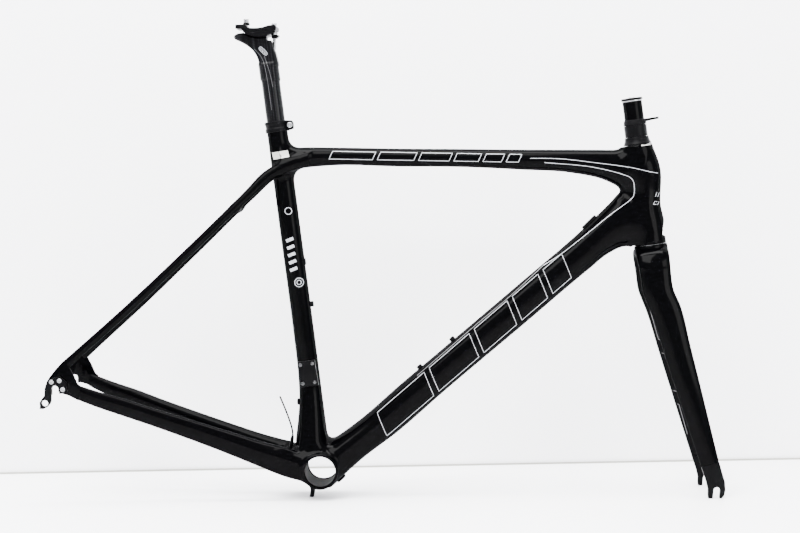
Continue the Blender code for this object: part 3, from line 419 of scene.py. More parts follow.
def machined(name, outline, low, high, axes, look, body, nodes=(), cuts=(), edge=0.6):
    """A flat plate with cut-outs and softly bevelled edges. A cut is (points, faces)."""
    made = put(name, *plate_mesh(outline, low, high), axes, look, body, nodes)
    tools = []
    for number, (points, faces) in enumerate(cuts):
        tool = bpy.data.meshes.new("tool")
        turn = np.array(axes)
        world = np.asarray(points, dtype=float) * MM @ turn[:3, :3].T + turn[:3, 3]
        tool.from_pydata(world.tolist(), [], [tuple(face) for face in faces])
        shape = bmesh.new()
        shape.from_mesh(tool)
        bmesh.ops.recalc_face_normals(shape, faces=shape.faces)
        shape.to_mesh(tool)
        shape.free()
        holder = bpy.data.objects.new("tool", tool)
        bpy.context.scene.collection.objects.link(holder)
        step = made.modifiers.new("cut_%d" % number, "BOOLEAN")
        step.solver = "EXACT"
        step.object = holder
        tools.append(holder)
    bevel = made.modifiers.new("bevel", "BEVEL")
    bevel.width = MM * edge
    bevel.segments = 3
    bevel.limit_method = "ANGLE"
    bevel.angle_limit = math.radians(40.0)
    baked(made)
    made.data.shade_smooth()
    made.data.set_sharp_from_angle(angle=math.radians(40.0))
    for holder in tools:
        bpy.data.objects.remove(holder)
    return made


# Blended solids: each is a signed distance on a grid, whose zero surface becomes a mesh

class Strip:
    """A tube whose sections stand on lines in one plane. A station is (low, high, side, half width, power)."""

    def __init__(self, stations, spacing=6.0):
        table = np.array([(*low, *high, side, half, power) for low, high, side, half, power in stations])
        centre = 0.5 * (table[:, 0:2] + table[:, 2:4])
        along = np.concatenate([[0.0], np.cumsum(np.linalg.norm(np.diff(centre, axis=0), axis=1))])
        slope = np.gradient(table, along, axis=0)
        steps = max(int(along[-1] / spacing), 8)
        wanted = np.linspace(0.0, along[-1], steps + 1)
        spot = np.clip(np.searchsorted(along, wanted, side="right") - 1, 0, len(along) - 2)
        gap = (along[spot + 1] - along[spot])[:, None]
        t = (wanted - along[spot])[:, None] / gap
        self.table = ((2 * t ** 3 - 3 * t ** 2 + 1) * table[spot] + (t ** 3 - 2 * t ** 2 + t) * gap * slope[spot]
                      + (3 * t ** 2 - 2 * t ** 3) * table[spot + 1] + (t ** 3 - t ** 2) * gap * slope[spot + 1])
        self.centre = 0.5 * (self.table[:, 0:2] + self.table[:, 2:4])
        depth = self.table[:, 2:4] - self.table[:, 0:2]
        normal = np.stack([depth[:, 1], -depth[:, 0]], axis=1)
        normal /= np.linalg.norm(normal, axis=1)[:, None]
        travel = np.gradient(self.centre, axis=0)
        self.normal = normal * np.sign(np.sum(normal * travel, axis=1))[:, None]
        reach = 34.0
        corners = np.concatenate([self.table[:, 0:2], self.table[:, 2:4]])
        self.low = corners.min(axis=0) - reach
        self.high = corners.max(axis=0) + reach

    def section(self, a, b):
        """The section at each point of the plane: its values, the place across it and how far past the ends."""
        spot = np.stack([a, b], axis=1)
        ahead = spot @ self.normal.T - np.sum(self.centre * self.normal, axis=1)
        far = (spot ** 2).sum(axis=1)[:, None] - 2.0 * spot @ self.centre.T + (self.centre ** 2).sum(axis=1)
        crossing = (ahead[:, :-1] >= 0.0) & (ahead[:, 1:] < 0.0)
        cost = np.where(crossing, far[:, :-1], np.inf)
        index = np.argmin(cost, axis=1)
        rows = np.arange(len(a))
        inside = np.isfinite(cost[rows, index])
        first, second = ahead[rows, index], ahead[rows, index + 1]
        part = np.where(inside, first / np.maximum(first - second, 1e-9), 0.0)
        at_end = far[:, -1] < far[:, 0]
        index = np.where(inside, index, np.where(at_end, len(self.centre) - 2, 0))
        part = np.where(inside, part, np.where(at_end, 1.0, 0.0))[:, None]
        values = self.table[index] * (1.0 - part) + self.table[index + 1] * part
        over = np.where(inside, np.maximum(-ahead[:, 0], ahead[:, -1]), np.where(at_end, ahead[:, -1], -ahead[:, 0]))
        over = np.where(inside & (over > 0.0), -1.0, over)
        depth = values[:, 2:4] - values[:, 0:2]
        half = 0.5 * np.linalg.norm(depth, axis=1)
        middle = 0.5 * (values[:, 0:2] + values[:, 2:4])
        across = np.sum((spot - middle) * depth, axis=1) / (2.0 * half ** 2)
        return values[:, 4], values[:, 5], values[:, 6], half, across, over

    def distance(self, section, c):
        side, width, power, half, across, over = section
        u = np.abs((c - side) / width) + 1e-6
        v = np.abs(across) + 1e-6
        level = (u ** power + v ** power) ** (1.0 / power)
        slope = level ** (1.0 - power) * np.sqrt((u ** (power - 1.0) / width) ** 2 + (v ** (power - 1.0) / half) ** 2)
        return np.maximum((level - 1.0) / np.maximum(slope, 0.01), over)


def rod(centre, along, radius, low, high):
    """The distance from a round bar along y (a bore or a shell) or along a line in the (x, z) plane."""
    def found(x, y, z):
        if along == "y":
            return np.maximum(np.hypot(x - centre[0], z - centre[1]) - radius, np.maximum(low - y, y - high))
        dx, dz = x - centre[0], z - centre[1]
        height = dx * along[0] + dz * along[1]
        across = dx * along[1] - dz * along[0]
        return np.maximum(np.hypot(across, y) - radius, np.maximum(low - height, height - high))
    return found


def blend_of(first, second, width):
    near = np.maximum(width - np.abs(first - second), 0.0) / width
    return np.minimum(first, second) - near * near * width * 0.25


FAR = 60.0


def on_points(strip, points, order=(0, 2, 1)):
    """A strip's distance at loose points, far away where it can't matter."""
    a, b, c = (points[:, axis] for axis in order)
    near = (a > strip.low[0]) & (a < strip.high[0]) & (b > strip.low[1]) & (b < strip.high[1])
    found = np.full(len(points), FAR)
    if near.any():
        found[near] = strip.distance(strip.section(a[near], b[near]), c[near])
    return found


def on_grid(strip, xs, ys, zs):
    """A strip's distance on a grid, worked out section by section in the (x, z) plane."""
    found = np.full((len(xs), len(ys), len(zs)), FAR, dtype=np.float32)
    ix = np.where((xs > strip.low[0]) & (xs < strip.high[0]))[0]
    iz = np.where((zs > strip.low[1]) & (zs < strip.high[1]))[0]
    if not len(ix) or not len(iz):
        return found
    a, b = np.meshgrid(xs[ix], zs[iz], indexing="ij")
    section = strip.section(a.ravel(), b.ravel())
    close = np.where(np.abs(section[4]) * section[3] < section[3] + 34.0)[0]
    picked = [values[close][:, None] for values in section]
    distance = strip.distance(picked, ys[None, :])
    block = np.full((len(ix) * len(iz), len(ys)), FAR, dtype=np.float32)
    block[close] = distance
    found[np.ix_(ix, range(len(ys)), iz)] = block.reshape(len(ix), len(iz), len(ys)).transpose(0, 2, 1)
    return found


def net(field, origin, step):
    """Surface nets: one point in each cell that the zero surface crosses, joined across the crossed edges."""
    inside = field < 0.0
    count = np.zeros(tuple(n - 1 for n in field.shape), dtype=np.int8)
    corners = [(i, j, k) for i in (0, 1) for j in (0, 1) for k in (0, 1)]
    for i, j, k in corners:
        count += inside[i:field.shape[0] - 1 + i, j:field.shape[1] - 1 + j, k:field.shape[2] - 1 + k]
    cells = np.argwhere((count > 0) & (count < 8))
    values = np.stack([field[cells[:, 0] + i, cells[:, 1] + j, cells[:, 2] + k] for i, j, k in corners], axis=1)
    total = np.zeros((len(cells), 3))
    hits = np.zeros(len(cells))
    for first in range(8):
        for second in range(first + 1, 8):
            if sum(abs(a - b) for a, b in zip(corners[first], corners[second])) != 1:
                continue
            va, vb = values[:, first], values[:, second]
            crossed = (va < 0.0) != (vb < 0.0)
            part = np.where(crossed, va / np.where(crossed, va - vb, 1.0), 0.0)[:, None]
            spot = np.array(corners[first]) * (1.0 - part) + np.array(corners[second]) * part
            total += spot * crossed[:, None]
            hits += crossed
    points = (cells + total / hits[:, None]) * step + origin
    number = np.full(count.shape, -1, dtype=np.int64)
    number[tuple(cells.T)] = np.arange(len(cells))
    quads = []
    for axis in range(3):
        one, two = (axis + 1) % 3, (axis + 2) % 3
        low = [slice(None)] * 3
        high = [slice(None)] * 3
        low[axis], high[axis] = slice(0, -1), slice(1, None)
        edges = np.argwhere(inside[tuple(low)] != inside[tuple(high)])
        edges = edges[(edges[:, one] > 0) & (edges[:, two] > 0)]
        edges = edges[(edges[:, one] < field.shape[one] - 1) & (edges[:, two] < field.shape[two] - 1)]
        ring = []
        for back_one, back_two in ((1, 1), (0, 1), (0, 0), (1, 0)):
            cell = edges.copy()
            cell[:, one] -= back_one
            cell[:, two] -= back_two
            ring.append(number[tuple(cell.T)])
        face = np.stack(ring, axis=1)
        flip = ~inside[tuple(edges.T)]
        face[flip] = face[flip][:, ::-1]
        quads.append(face)
    return points, np.concatenate(quads)


def drawn_in(points, field, slopes, exact, origin, step, rounds=2):
    """Moves a net's points on to the true surface, along the grid's own slopes."""
    for _ in range(rounds):
        cell = (points - origin) / step
        low = np.clip(np.floor(cell).astype(int), 0, np.array(field.shape) - 2)
        part = cell - low
        slope = np.zeros_like(points)
        for i in (0, 1):
            for j in (0, 1):
                for k in (0, 1):
                    weight = (np.abs(1 - i - part[:, 0]) * np.abs(1 - j - part[:, 1]) * np.abs(1 - k - part[:, 2]))
                    spot = (low[:, 0] + i, low[:, 1] + j, low[:, 2] + k)
                    slope += weight[:, None] * np.stack([axis[spot] for axis in slopes], axis=1)
        size = np.maximum((slope ** 2).sum(axis=1), 0.05)[:, None]
        move = exact(points)[:, None] * slope / size
        points = points - np.clip(move, -0.5 * step, 0.5 * step)
    return points


def surface(solid, low, high, step):
    """The mesh of a solid given as solid(grid axes) and solid(points)."""
    axes = [np.arange(low[n], high[n] + step, step) for n in range(3)]
    field = solid.grid(*axes)
    origin = np.array([axis[0] for axis in axes])
    points, quads = net(field, origin, step)
    slopes = np.gradient(field, step)
    return drawn_in(points, field, slopes, solid.at, origin, step), quads


# The frame's tubes

def seat_station(height, rear, front, half, power=2.0):
    return (seat_point(height, -rear), seat_point(height, front), 0.0, half, power)


def head_station(drop, rear, front, half, power=2.0):
    return (head_point(drop, -rear), head_point(drop, front), 0.0, half, power)


SEAT_TUBE = [
    seat_station(20.0, 36.0, 15.0, 39.0, 2.4), seat_station(45.0, 33.0, 15.0, 35.0, 2.4),
    seat_station(75.0, 26.0, 15.0, 26.0, 2.3), seat_station(105.0, 20.0, 15.2, 20.0, 2.2),
    seat_station(140.0, 16.8, 15.3, 17.0, 2.1), seat_station(200.0, 15.5, 15.5, 16.0),
    seat_station(360.0, 15.4, 15.4, 15.6), seat_station(SEAT_TUBE_LENGTH - 3.0, 15.2, 15.2, 15.2),
]
TOP_TUBE = [
    ((-114.0, 431.0), (-127.0, 463.0), 0.0, 15.0, 2.2), ((-98.2, 437.6), (-101.0, 469.0), 0.0, 15.5, 2.3),
    ((-56.0, 448.6), (-58.5, 475.5), 0.0, 15.5, 2.4), ((48.0, 463.0), (44.4, 489.5), 0.0, 15.5, 2.4),
    ((136.0, 475.8), (132.3, 502.3), 0.0, 16.0, 2.4), ((224.6, 485.3), (220.2, 514.8), 0.0, 17.0, 2.4),
    ((300.0, 492.0), (296.0, 526.0), 0.0, 18.0, 2.4), ((345.0, 490.0), (336.0, 532.0), 0.0, 18.5, 2.4),
    ((366.0, 484.5), (360.0, 535.5), 0.0, 18.4, 2.4), ((382.0, 479.0), (379.0, 538.0), 0.0, 17.6, 2.3),
    ((400.0, 476.0), (394.0, 540.0), 0.0, 15.5, 2.2),
]
DOWN_TUBE = [
    ((18.0, -26.0), (3.0, 38.0), 0.0, 36.0, 2.6), ((29.3, -12.0), (19.0, 53.0), 0.0, 34.0, 2.6),
    ((54.9, 19.6), (45.9, 80.4), 0.0, 30.0, 2.5), ((107.2, 74.6), (97.2, 141.4), 0.0, 27.0, 2.5),
    ((158.4, 136.0), (148.6, 200.8), 0.0, 26.0, 2.5), ((260.7, 254.1), (250.7, 319.1), 0.0, 25.0, 2.5),
    ((348.0, 355.0), (336.0, 420.0), 0.0, 24.0, 2.5), ((375.0, 384.0), (366.0, 460.5), 0.0, 23.5, 2.4),
    ((388.0, 393.5), (373.0, 471.0), 0.0, 22.6, 2.4), ((407.0, 400.2), (386.0, 477.0), 0.0, 20.5, 2.3),
    (head_point(140.0, -3.0), head_point(74.0, -3.0), 0.0, 17.0, 2.2),
]
HEAD_TUBE = [
    head_station(0.0, 21.0, 21.0, 22.0), head_station(10.0, 22.5, 23.2, 22.0),
    head_station(26.0, 23.0, 27.2, 21.5), head_station(41.0, 22.5, 29.0, 21.0),
    head_station(56.0, 22.0, 27.8, 20.5), head_station(72.0, 21.5, 25.0, 20.5),
    head_station(90.0, 21.5, 22.6, 21.5), head_station(115.0, 23.5, 24.6, 24.0),
    head_station(HEAD_LENGTH, 25.3, 25.3, 25.6),
]


def stay_stations(side):
    return [
        ((-386.5, 97.7), (-398.0, 104.5), side * 66.0, 3.6, 2.6),
        ((-363.5, 126.3), (-373.3, 134.0), side * 61.0, 6.0, 2.3),
        ((-307.8, 194.5), (-317.5, 202.0), side * 51.5, 6.5, 2.2),
        ((-234.5, 288.8), (-244.3, 296.3), side * 38.0, 6.5, 2.2),
        ((-160.5, 385.3), (-171.3, 393.8), side * 26.0, 6.5, 2.2),
        ((-136.0, 415.0), (-147.5, 427.0), side * 20.5, 6.2, 2.2),
        ((-112.0, 432.5), (-118.0, 448.5), side * 17.5, 5.5, 2.2),
        ((-86.0, 443.5), (-88.5, 460.5), side * 14.0, 3.5, 2.2),
    ]


def chainstay_stations(side):
    return [
        ((-376.0, 58.6), (-376.0, 77.5), side * 66.0, 3.6, 2.8),
        ((-363.5, 54.5), (-363.5, 75.5), side * 63.5, 4.8, 2.8),
        ((-340.0, 48.6), (-340.0, 71.2), side * 60.0, 6.5, 2.6),
        ((-300.0, 40.4), (-300.0, 65.4), side * 54.0, 8.0, 2.6),
        ((-257.0, 31.7), (-257.0, 57.4), side * 47.5, 8.6, 2.6),
        ((-198.0, 18.8), (-198.0, 47.5), side * 40.0, 9.0, 2.6),
        ((-148.0, 7.2), (-148.0, 39.3), side * 35.0, 9.6, 2.6),
        ((-99.0, -4.8), (-99.0, 31.5), side * 32.5, 10.6, 2.6),
        ((-49.0, -16.4), (-49.0, 25.0), side * 31.5, 11.2, 2.6),
        ((-12.0, -20.0), (-12.0, 14.0), side * 31.5, 10.6, 2.6),
    ]


class FrameSkin:
    """The one-piece moulding, in which tubes and stays run into each other."""

    def __init__(self):
        self.strips = [
            (Strip(DOWN_TUBE), 0.0), (Strip(HEAD_TUBE, 4.0), 13.0), (Strip(TOP_TUBE), 16.0),
            (Strip(SEAT_TUBE), 18.0),
        ]
        for side in (-1.0, 1.0):
            self.strips.append((Strip(chainstay_stations(side)), 16.0))
            self.strips.append((Strip(stay_stations(side)), 9.0))
        self.solids = [
            (rod((0.0, 0.0), "y", SHELL_R, -SHELL_HALF + 0.4, SHELL_HALF - 0.4), 9.0),
            (rod((-181.5, 365.2), "y", 5.4, -27.0, 27.0), 6.0),
            (rod((-54.0, 10.0), "y", 10.5, -31.0, 31.0), 12.0),
        ]
        head, seat = math.radians(HEAD_ANGLE), math.radians(SEAT_ANGLE)
        up_head, up_seat = (-math.cos(head), math.sin(head)), (-math.cos(seat), math.sin(seat))
        self.ends = [
            rod(HEAD_TOP, up_head, 29.0, 0.0, 40.0), rod(HEAD_TOP, up_head, 29.0, -200.0, -HEAD_LENGTH),
            rod((0.0, 0.0), up_seat, 24.0, SEAT_TUBE_LENGTH - 3.0, 580.0),
        ]

    def combined(self, strip_values, x, y, z):
        found = None
        for value, width in strip_values:
            found = value if found is None else blend_of(found, value, width)
        for solid, width in self.solids:
            found = blend_of(found, solid(x, y, z), width)
        for block in self.ends:
            found = np.maximum(found, -block(x, y, z))
        return found

    def grid(self, xs, ys, zs):
        values = ((on_grid(strip, xs, ys, zs), width) for strip, width in self.strips)
        x, y, z = np.meshgrid(xs.astype(np.float32), ys.astype(np.float32), zs.astype(np.float32), indexing="ij",
                              sparse=True)
        return self.combined(values, x, y, z)

    def at(self, points):
        values = ((on_points(strip, points), width) for strip, width in self.strips)
        return self.combined(values, *points.T)


FRAME_NODES = ("head_tube", "top_tube", "down_tube", "seat_tube", "chainstay_right", "chainstay_left",
               "chainstay_bridge", "seatstay_right", "seatstay_left", "seatstay_bridge")


def turned_tool(profile, axes, count=96):
    """A round cutter from a closed profile of (radius, height) points."""
    shape = bmesh.new()
    rings = []
    for radius, height in profile:
        if radius < 1e-6:
            rings.append([shape.verts.new((0.0, 0.0, MM * height))])
            continue
        rings.append([shape.verts.new((MM * radius * math.cos(2.0 * math.pi * k / count),
                                       MM * radius * math.sin(2.0 * math.pi * k / count), MM * height))
                      for k in range(count)])
    for i in range(len(rings) - 1):
        here, there = rings[i], rings[i + 1]
        for k in range(count):
            ring = [here[k % len(here)], here[(k + 1) % len(here)], there[(k + 1) % len(there)], there[k % len(there)]]
            shape.faces.new(list(dict.fromkeys(ring)))
    bmesh.ops.recalc_face_normals(shape, faces=shape.faces)
    bmesh.ops.transform(shape, matrix=axes, verts=shape.verts)
    mesh = bpy.data.meshes.new("tool")
    shape.to_mesh(mesh)
    shape.free()
    made = bpy.data.objects.new("tool", mesh)
    bpy.context.scene.collection.objects.link(made)
    return made


def bored(piece, tools, sharp):
    """Cuts a piece with each tool in turn, and removes the tools."""
    for number, tool in enumerate(tools):
        step = piece.modifiers.new("bore_%d" % number, "BOOLEAN")
        step.solver = "EXACT"
        step.object = tool
    baked(piece)
    piece.data.shade_smooth()
    piece.data.set_sharp_from_angle(angle=math.radians(sharp))
    for tool in tools:
        bpy.data.objects.remove(tool)


def add_frame_skin():
    points, quads = surface(FrameSkin(), (-408.0, -74.0, -36.0), (446.0, 74.0, 572.0), GRID)
    made = put("frame_moulding", points, quads, CHART, CARBON, "frame", FRAME_NODES, sharp=55.0)
    shell = [(0.0, -60.0), (SHELL_BORE_R + 0.3, -60.0), (SHELL_BORE_R + 0.3, 60.0), (0.0, 60.0)]
    head = [(0.0, -HEAD_LENGTH - 1.0), (23.4, -HEAD_LENGTH - 1.0), (23.4, -HEAD_LENGTH + 7.5),
            (17.6, -HEAD_LENGTH + 12.0), (17.6, -9.0), (19.0, -7.5), (19.0, 30.0), (0.0, 30.0)]
    seat = [(0.0, 320.0), (POST_R + 0.4, 320.0), (POST_R + 0.4, 545.0), (0.0, 545.0)]
    tools = [turned_tool(shell, at(CHART, 0.0, 0.0, 0.0, TO_LEFT)), turned_tool(head, STEER),
             turned_tool(seat, SEAT)]
    bored(made, tools, 50.0)
    return made


# Bottom bracket, dropouts and hanger

def add_shell():
    half = SHELL_HALF
    profile = [(23.0, -half + 0.8), (23.8, -half), (26.0, -half), (26.0, -half + 3.0), (24.4, -half + 3.2),
               (24.4, half - 3.2), (26.0, half - 3.0), (26.0, half), (23.8, half), (23.0, half - 0.8),
               (23.0, half - 11.0), (23.6, half - 11.4), (23.6, -half + 11.4), (23.0, -half + 11.0)]
    lathe("bottom_bracket_bore", profile, at(CHART, 0.0, 0.0, 0.0, TO_LEFT), LINING, "frame",
          ("bottom_bracket_shell",), 0.3, 96)
    for word, turn in (("right", TO_RIGHT), ("left", TO_LEFT)):
        rim = [(23.9, half), (26.0, half), (26.0, half + 0.05), (23.9, half + 0.05)]
        lathe("bottom_bracket_rim_" + word, rim, at(CHART, 0.0, 0.0, 0.0, turn), CARBON, "frame", (), 0.02, 96)


def slot_tool(axle, width, lean, length):
    half = 0.5 * width
    outline = arc(axle, half, lean, lean + 180.0, 16)
    down = math.radians(lean - 90.0)
    run = (length * math.cos(down), length * math.sin(down))
    first, last = outline[0], outline[-1]
    outline += [(last[0] + run[0], last[1] + run[1]), (first[0] + run[0], first[1] + run[1])]
    return plate_mesh(outline, -90.0, 90.0)


DROPOUT = [(-364.0, 55.0), (-364.0, 76.0), (-369.0, 79.0), (-376.3, 90.5), (-384.2, 101.0), (-394.4, 109.0),
           (-404.0, 94.5), (-410.5, 83.0), (-414.0, 75.0), (-414.5, 66.0), (-411.0, 58.0), (-405.0, 57.0),
           (-399.5, 57.0), (-394.0, 60.0), (-389.0, 61.5), (-379.0, 60.0)]
HANGER = [(-404.3, 66.0), (-403.2, 58.0), (-401.9, 52.0), (-402.8, 45.5), (-406.5, 39.5), (-411.5, 35.7),
          (-417.8, 34.6), (-417.6, 38.4), (-419.0, 44.2), (-416.6, 49.4), (-413.6, 55.0), (-414.6, 66.0),
          (-412.8, 75.6), (-406.0, 82.2), (-394.6, 86.0), (-384.5, 80.0), (-382.5, 68.0), (-387.5, 62.3),
          (-394.3, 64.6)]
HANGER_SCREWS = [(-406.2, 76.6), (-394.8, 80.3), (-388.2, 68.3)]
HANGER_HOLE = (-411.0, 44.2)
HANGER_OUT, HANGER_IN = -74.8, -70.3
SLOT_LEAN = 8.0


def add_rear_ends():
    slot = slot_tool(REAR_AXLE, 10.2, SLOT_LEAN, 30.0)
    for word, low, high in (("right", -70.0, -65.0), ("left", 65.0, 70.0)):
        machined("rear_dropout_" + word, DROPOUT, low, high, CHART, CARBON, "frame", ("dropout_" + word,),
                 (slot,), 0.9)
    hole = plate_mesh(arc(HANGER_HOLE, 4.6, 0.0, 352.5, 47), -90.0, 90.0)
    sinks = [plate_mesh(arc(spot, 3.7, 0.0, 345.0, 23), -90.0, HANGER_OUT + 1.5) for spot in HANGER_SCREWS]
    machined("rear_hanger", HANGER, HANGER_OUT, HANGER_IN, CHART, ANODISED, "frame", ("derailleur_hanger",),
             (slot, hole, *sinks), 0.5)
    screw = [(0.0, -4.0), (1.7, -4.0), (1.7, 0.0), (3.4, 0.2), (3.4, 1.1), (3.0, 1.4), (1.5, 1.4), (1.4, 0.2),
             (0.0, 0.2)]
    for number, (x, z) in enumerate(HANGER_SCREWS, 1):
        lathe("hanger_screw_head_%d" % number, screw, at(CHART, x, HANGER_OUT + 1.4, z, TO_RIGHT), STEEL,
              "frame", ("hanger_screw_%d" % number,), 0.2, 40)


# Fork: one horseshoe loft from tip to tip, over the wheel

def steer_xz(point):
    """A chart point in the steering axes."""
    turn = math.radians(HEAD_ANGLE)
    dx, dz = point[0] - HEAD_TOP[0], point[1] - HEAD_TOP[1]
    return (dx * math.sin(turn) + dz * math.cos(turn), -dx * math.cos(turn) + dz * math.sin(turn))


BLADE = [
    ((551.2, 95.8), (575.2, 108.1), 52.8, 5.4, 2.3), ((532.1, 133.4), (559.3, 147.2), 49.3, 7.0, 2.2),
    ((503.3, 190.6), (534.9, 206.6), 45.0, 8.0, 2.2), ((474.7, 247.6), (510.3, 265.6), 40.5, 8.8, 2.2),
    ((446.3, 304.6), (485.7, 324.6), 36.0, 9.6, 2.2),
    (head_point(215.0, -23.4), head_point(215.0, 21.6), 33.0, 10.2, 2.3),
]
CROWN_ARCH = [(31.0, -186.2, 90.0, 10.4, 22.8), (30.2, -175.5, 97.0, 10.3, 23.3), (25.5, -165.2, 126.0, 9.8, 24.0),
              (14.5, -159.2, 163.0, 9.2, 24.6), (0.0, -157.6, 180.0, 9.0, 24.8)]


def fork_sections():
    """(centre, forward half axis, outward half axis, power) from the left tip over to the right tip."""
    found = []
    for rear, front, side, thick, power in BLADE:
        low, high = Vector(steer_xz(rear)), Vector(steer_xz(front))
        middle, half = 0.5 * (low + high), 0.5 * (high - low)
        found.append(((middle.x, side, middle.y), (half.x, 0.0, half.y), (0.0, thick, 0.0), power))
    for y, z, turn, thick, depth in CROWN_ARCH:
        heading = math.radians(turn)
        found.append(((-1.2, y, z), (depth, 0.0, 0.0), (0.0, thick * math.sin(heading), -thick * math.cos(heading)),
                      2.5))
    mirrored = [((c[0], -c[1], c[2]), a, (0.0, -o[1], o[2]), p) for c, a, o, p in found[-2::-1]]
    rows = found + mirrored
    return np.array([(*c, *a, *o, p) for c, a, o, p in rows])


def add_fork():
    rows = fork_sections()
    along = np.concatenate([[0.0], np.cumsum(np.linalg.norm(np.diff(rows[:, :3], axis=0), axis=1))])
    slope = np.gradient(rows, along, axis=0)
    wanted = np.linspace(0.0, along[-1], 420)
    spot = np.clip(np.searchsorted(along, wanted, side="right") - 1, 0, len(along) - 2)
    gap = (along[spot + 1] - along[spot])[:, None]
    t = (wanted - along[spot])[:, None] / gap
    rows = ((2 * t ** 3 - 3 * t ** 2 + 1) * rows[spot] + (t ** 3 - 2 * t ** 2 + t) * gap * slope[spot]
            + (3 * t ** 2 - 2 * t ** 3) * rows[spot + 1] + (t ** 3 - t ** 2) * gap * slope[spot + 1])
    count = 72
    turn = np.linspace(0.0, 2.0 * math.pi, count, endpoint=False)
    cosine, sine = np.cos(turn), np.sin(turn)
    points = []
    for row in rows:
        over = np.sign(cosine) * np.abs(cosine) ** (2.0 / row[9])
        out = np.sign(sine) * np.abs(sine) ** (2.0 / row[9])
        points.append(row[0:3] + over[:, None] * row[3:6] + out[:, None] * row[6:9])
    faces = [range(count), range((len(rows) - 1) * count, len(rows) * count)]
    for i in range(len(rows) - 1):
        faces += [(i * count + k, i * count + (k + 1) % count, (i + 1) * count + (k + 1) % count,
                   (i + 1) * count + k) for k in range(count)]
    fork = put("fork_moulding", np.concatenate(points), faces, STEER, CARBON, "fork",
               ("fork_crown", "fork_blade_right", "fork_blade_left"), 60.0)
    seat = [(15.0, -162.0), (25.0, -158.0), (24.6, -151.0), (24.0, -148.9), (15.0, -148.9)]
    lathe("fork_crown_seat", seat, STEER, CARBON, "fork", (), 0.8, 96)
    return fork


def floor_height(x):
    return FOOT[1] + (x - FOOT[0]) * math.tan(STANCE)


def add_fork_tips():
    outline = [(551.3, 95.4), (560.6, 77.6), (565.4, 66.0), (566.4, 58.0), (568.2, floor_height(568.2)),
               (587.2, floor_height(587.2)), (590.3, 60.0), (591.0, 68.0), (588.4, 80.0), (575.4, 107.7),
               (566.0, 115.0), (557.0, 110.0)]
    slot = slot_tool(FRONT_AXLE, 9.2, 3.4, 30.0)
    for word, low, high in (("right", -56.5, -50.0), ("left", 50.0, 56.5)):
        machined("fork_end_" + word, outline, low, high, CHART, ANODISED, "fork", ("fork_tip_" + word,), (slot,),
                 1.1)


# Headset and steerer

def add_steering_parts():
    parts = [
        ("steerer", "steerer_tube", CARBON, 0.4,
         [(11.2, -164.0), (16.6, -164.0), (16.6, -134.5), (14.3, -96.5), (14.3, 65.4), (13.7, 66.0), (11.2, 66.0)]),
        ("upper_race", "upper_bearing_inner_race", STEEL, 0.2, [(15.3, -7.2), (16.3, -7.2), (16.3, -0.2), (15.3, -0.2)]),
        ("lower_race", "lower_bearing_inner_race", STEEL, 0.2,
         [(17.0, -146.3), (19.6, -146.3), (19.6, -139.3), (17.0, -139.3)]),
        ("fork_race", "crown_race", DULL_STEEL, 0.3, [(16.9, -148.5), (23.6, -148.5), (22.8, -146.8), (16.9, -146.8)]),
        ("compression_ring", "headset_compression_ring", ANODISED, 0.3,
         [(14.6, -5.5), (15.0, -5.5), (15.0, 0.2), (17.4, 0.2), (17.4, 1.4), (14.6, 1.4)]),
        ("headset_cone", "headset_cover", ANODISED, 0.5,
         [(14.7, 1.8), (18.0, 1.8), (18.0, 0.5), (20.6, 0.5), (20.5, 1.8), (19.6, 3.4), (18.7, 5.4), (18.0, 8.0),
          (17.5, 12.0), (14.7, 12.0)]),
        ("spacer_ring", "steerer_spacer", ANODISED, 0.5,
         [(14.6, 12.3), (16.5, 12.3), (16.7, 12.6), (16.7, 28.9), (16.5, 29.2), (14.6, 29.2)]),
        ("steerer_cap", "top_cap", ANODISED, 0.5,
         [(3.5, 66.3), (15.7, 66.3), (15.9, 68.4), (15.0, 69.7), (5.4, 69.7), (4.6, 69.0), (4.6, 67.8), (3.5, 67.8)]),
        ("cap_bolt", "top_cap_bolt", STEEL, 0.3,
         [(0.0, 42.0), (3.0, 42.0), (3.0, 68.1), (4.2, 68.1), (4.2, 70.6), (3.6, 71.2), (2.2, 71.2), (2.1, 69.4),
          (0.0, 69.4)]),
        ("expander", "expander_plug", ANODISED, 0.3,
         [(3.4, 38.0), (10.4, 38.0), (10.9, 42.0), (10.9, 62.0), (10.4, 65.8), (3.4, 65.8)]),
    ]
    for name, node, look, soft, profile in parts:
        lathe(name, profile, STEER, look, "fork", (node,), soft)
    silver = [(13.9, 64.6), (14.5, 64.6), (14.5, 66.2), (13.9, 66.2)]
    lathe("steerer_cut_edge", silver, STEER, STEEL, "fork", (), 0.1)
    races = [("upper_cup", "upper_bearing_outer_race", [(16.6, -7.2), (18.8, -7.2), (18.8, -0.2), (16.6, -0.2)]),
             ("lower_cup", "lower_bearing_outer_race",
              [(19.9, -146.3), (23.2, -146.3), (23.2, -139.3), (19.9, -139.3)])]
    for name, node, profile in races:
        lathe(name, profile, STEER, STEEL, "frame", (node,), 0.2)
    ring = [(14.5, 29.6), (16.6, 29.6), (16.9, 30.6), (16.4, 33.2), (15.6, 37.2), (15.0, 37.6), (14.5, 37.6)]
    lathe("clip_ring", ring, STEER, PLASTIC, "fork", ("steerer_clip",), 0.3)
    tab = [(14.9, 32.4), (20.0, 33.2), (27.0, 33.8), (35.4, 34.2), (35.6, 37.5), (26.0, 37.4), (14.9, 37.2)]
    machined("clip_tab", tab, -3.4, 3.4, STEER, PLASTIC, "fork", (), (), 0.4)


# Seat collar

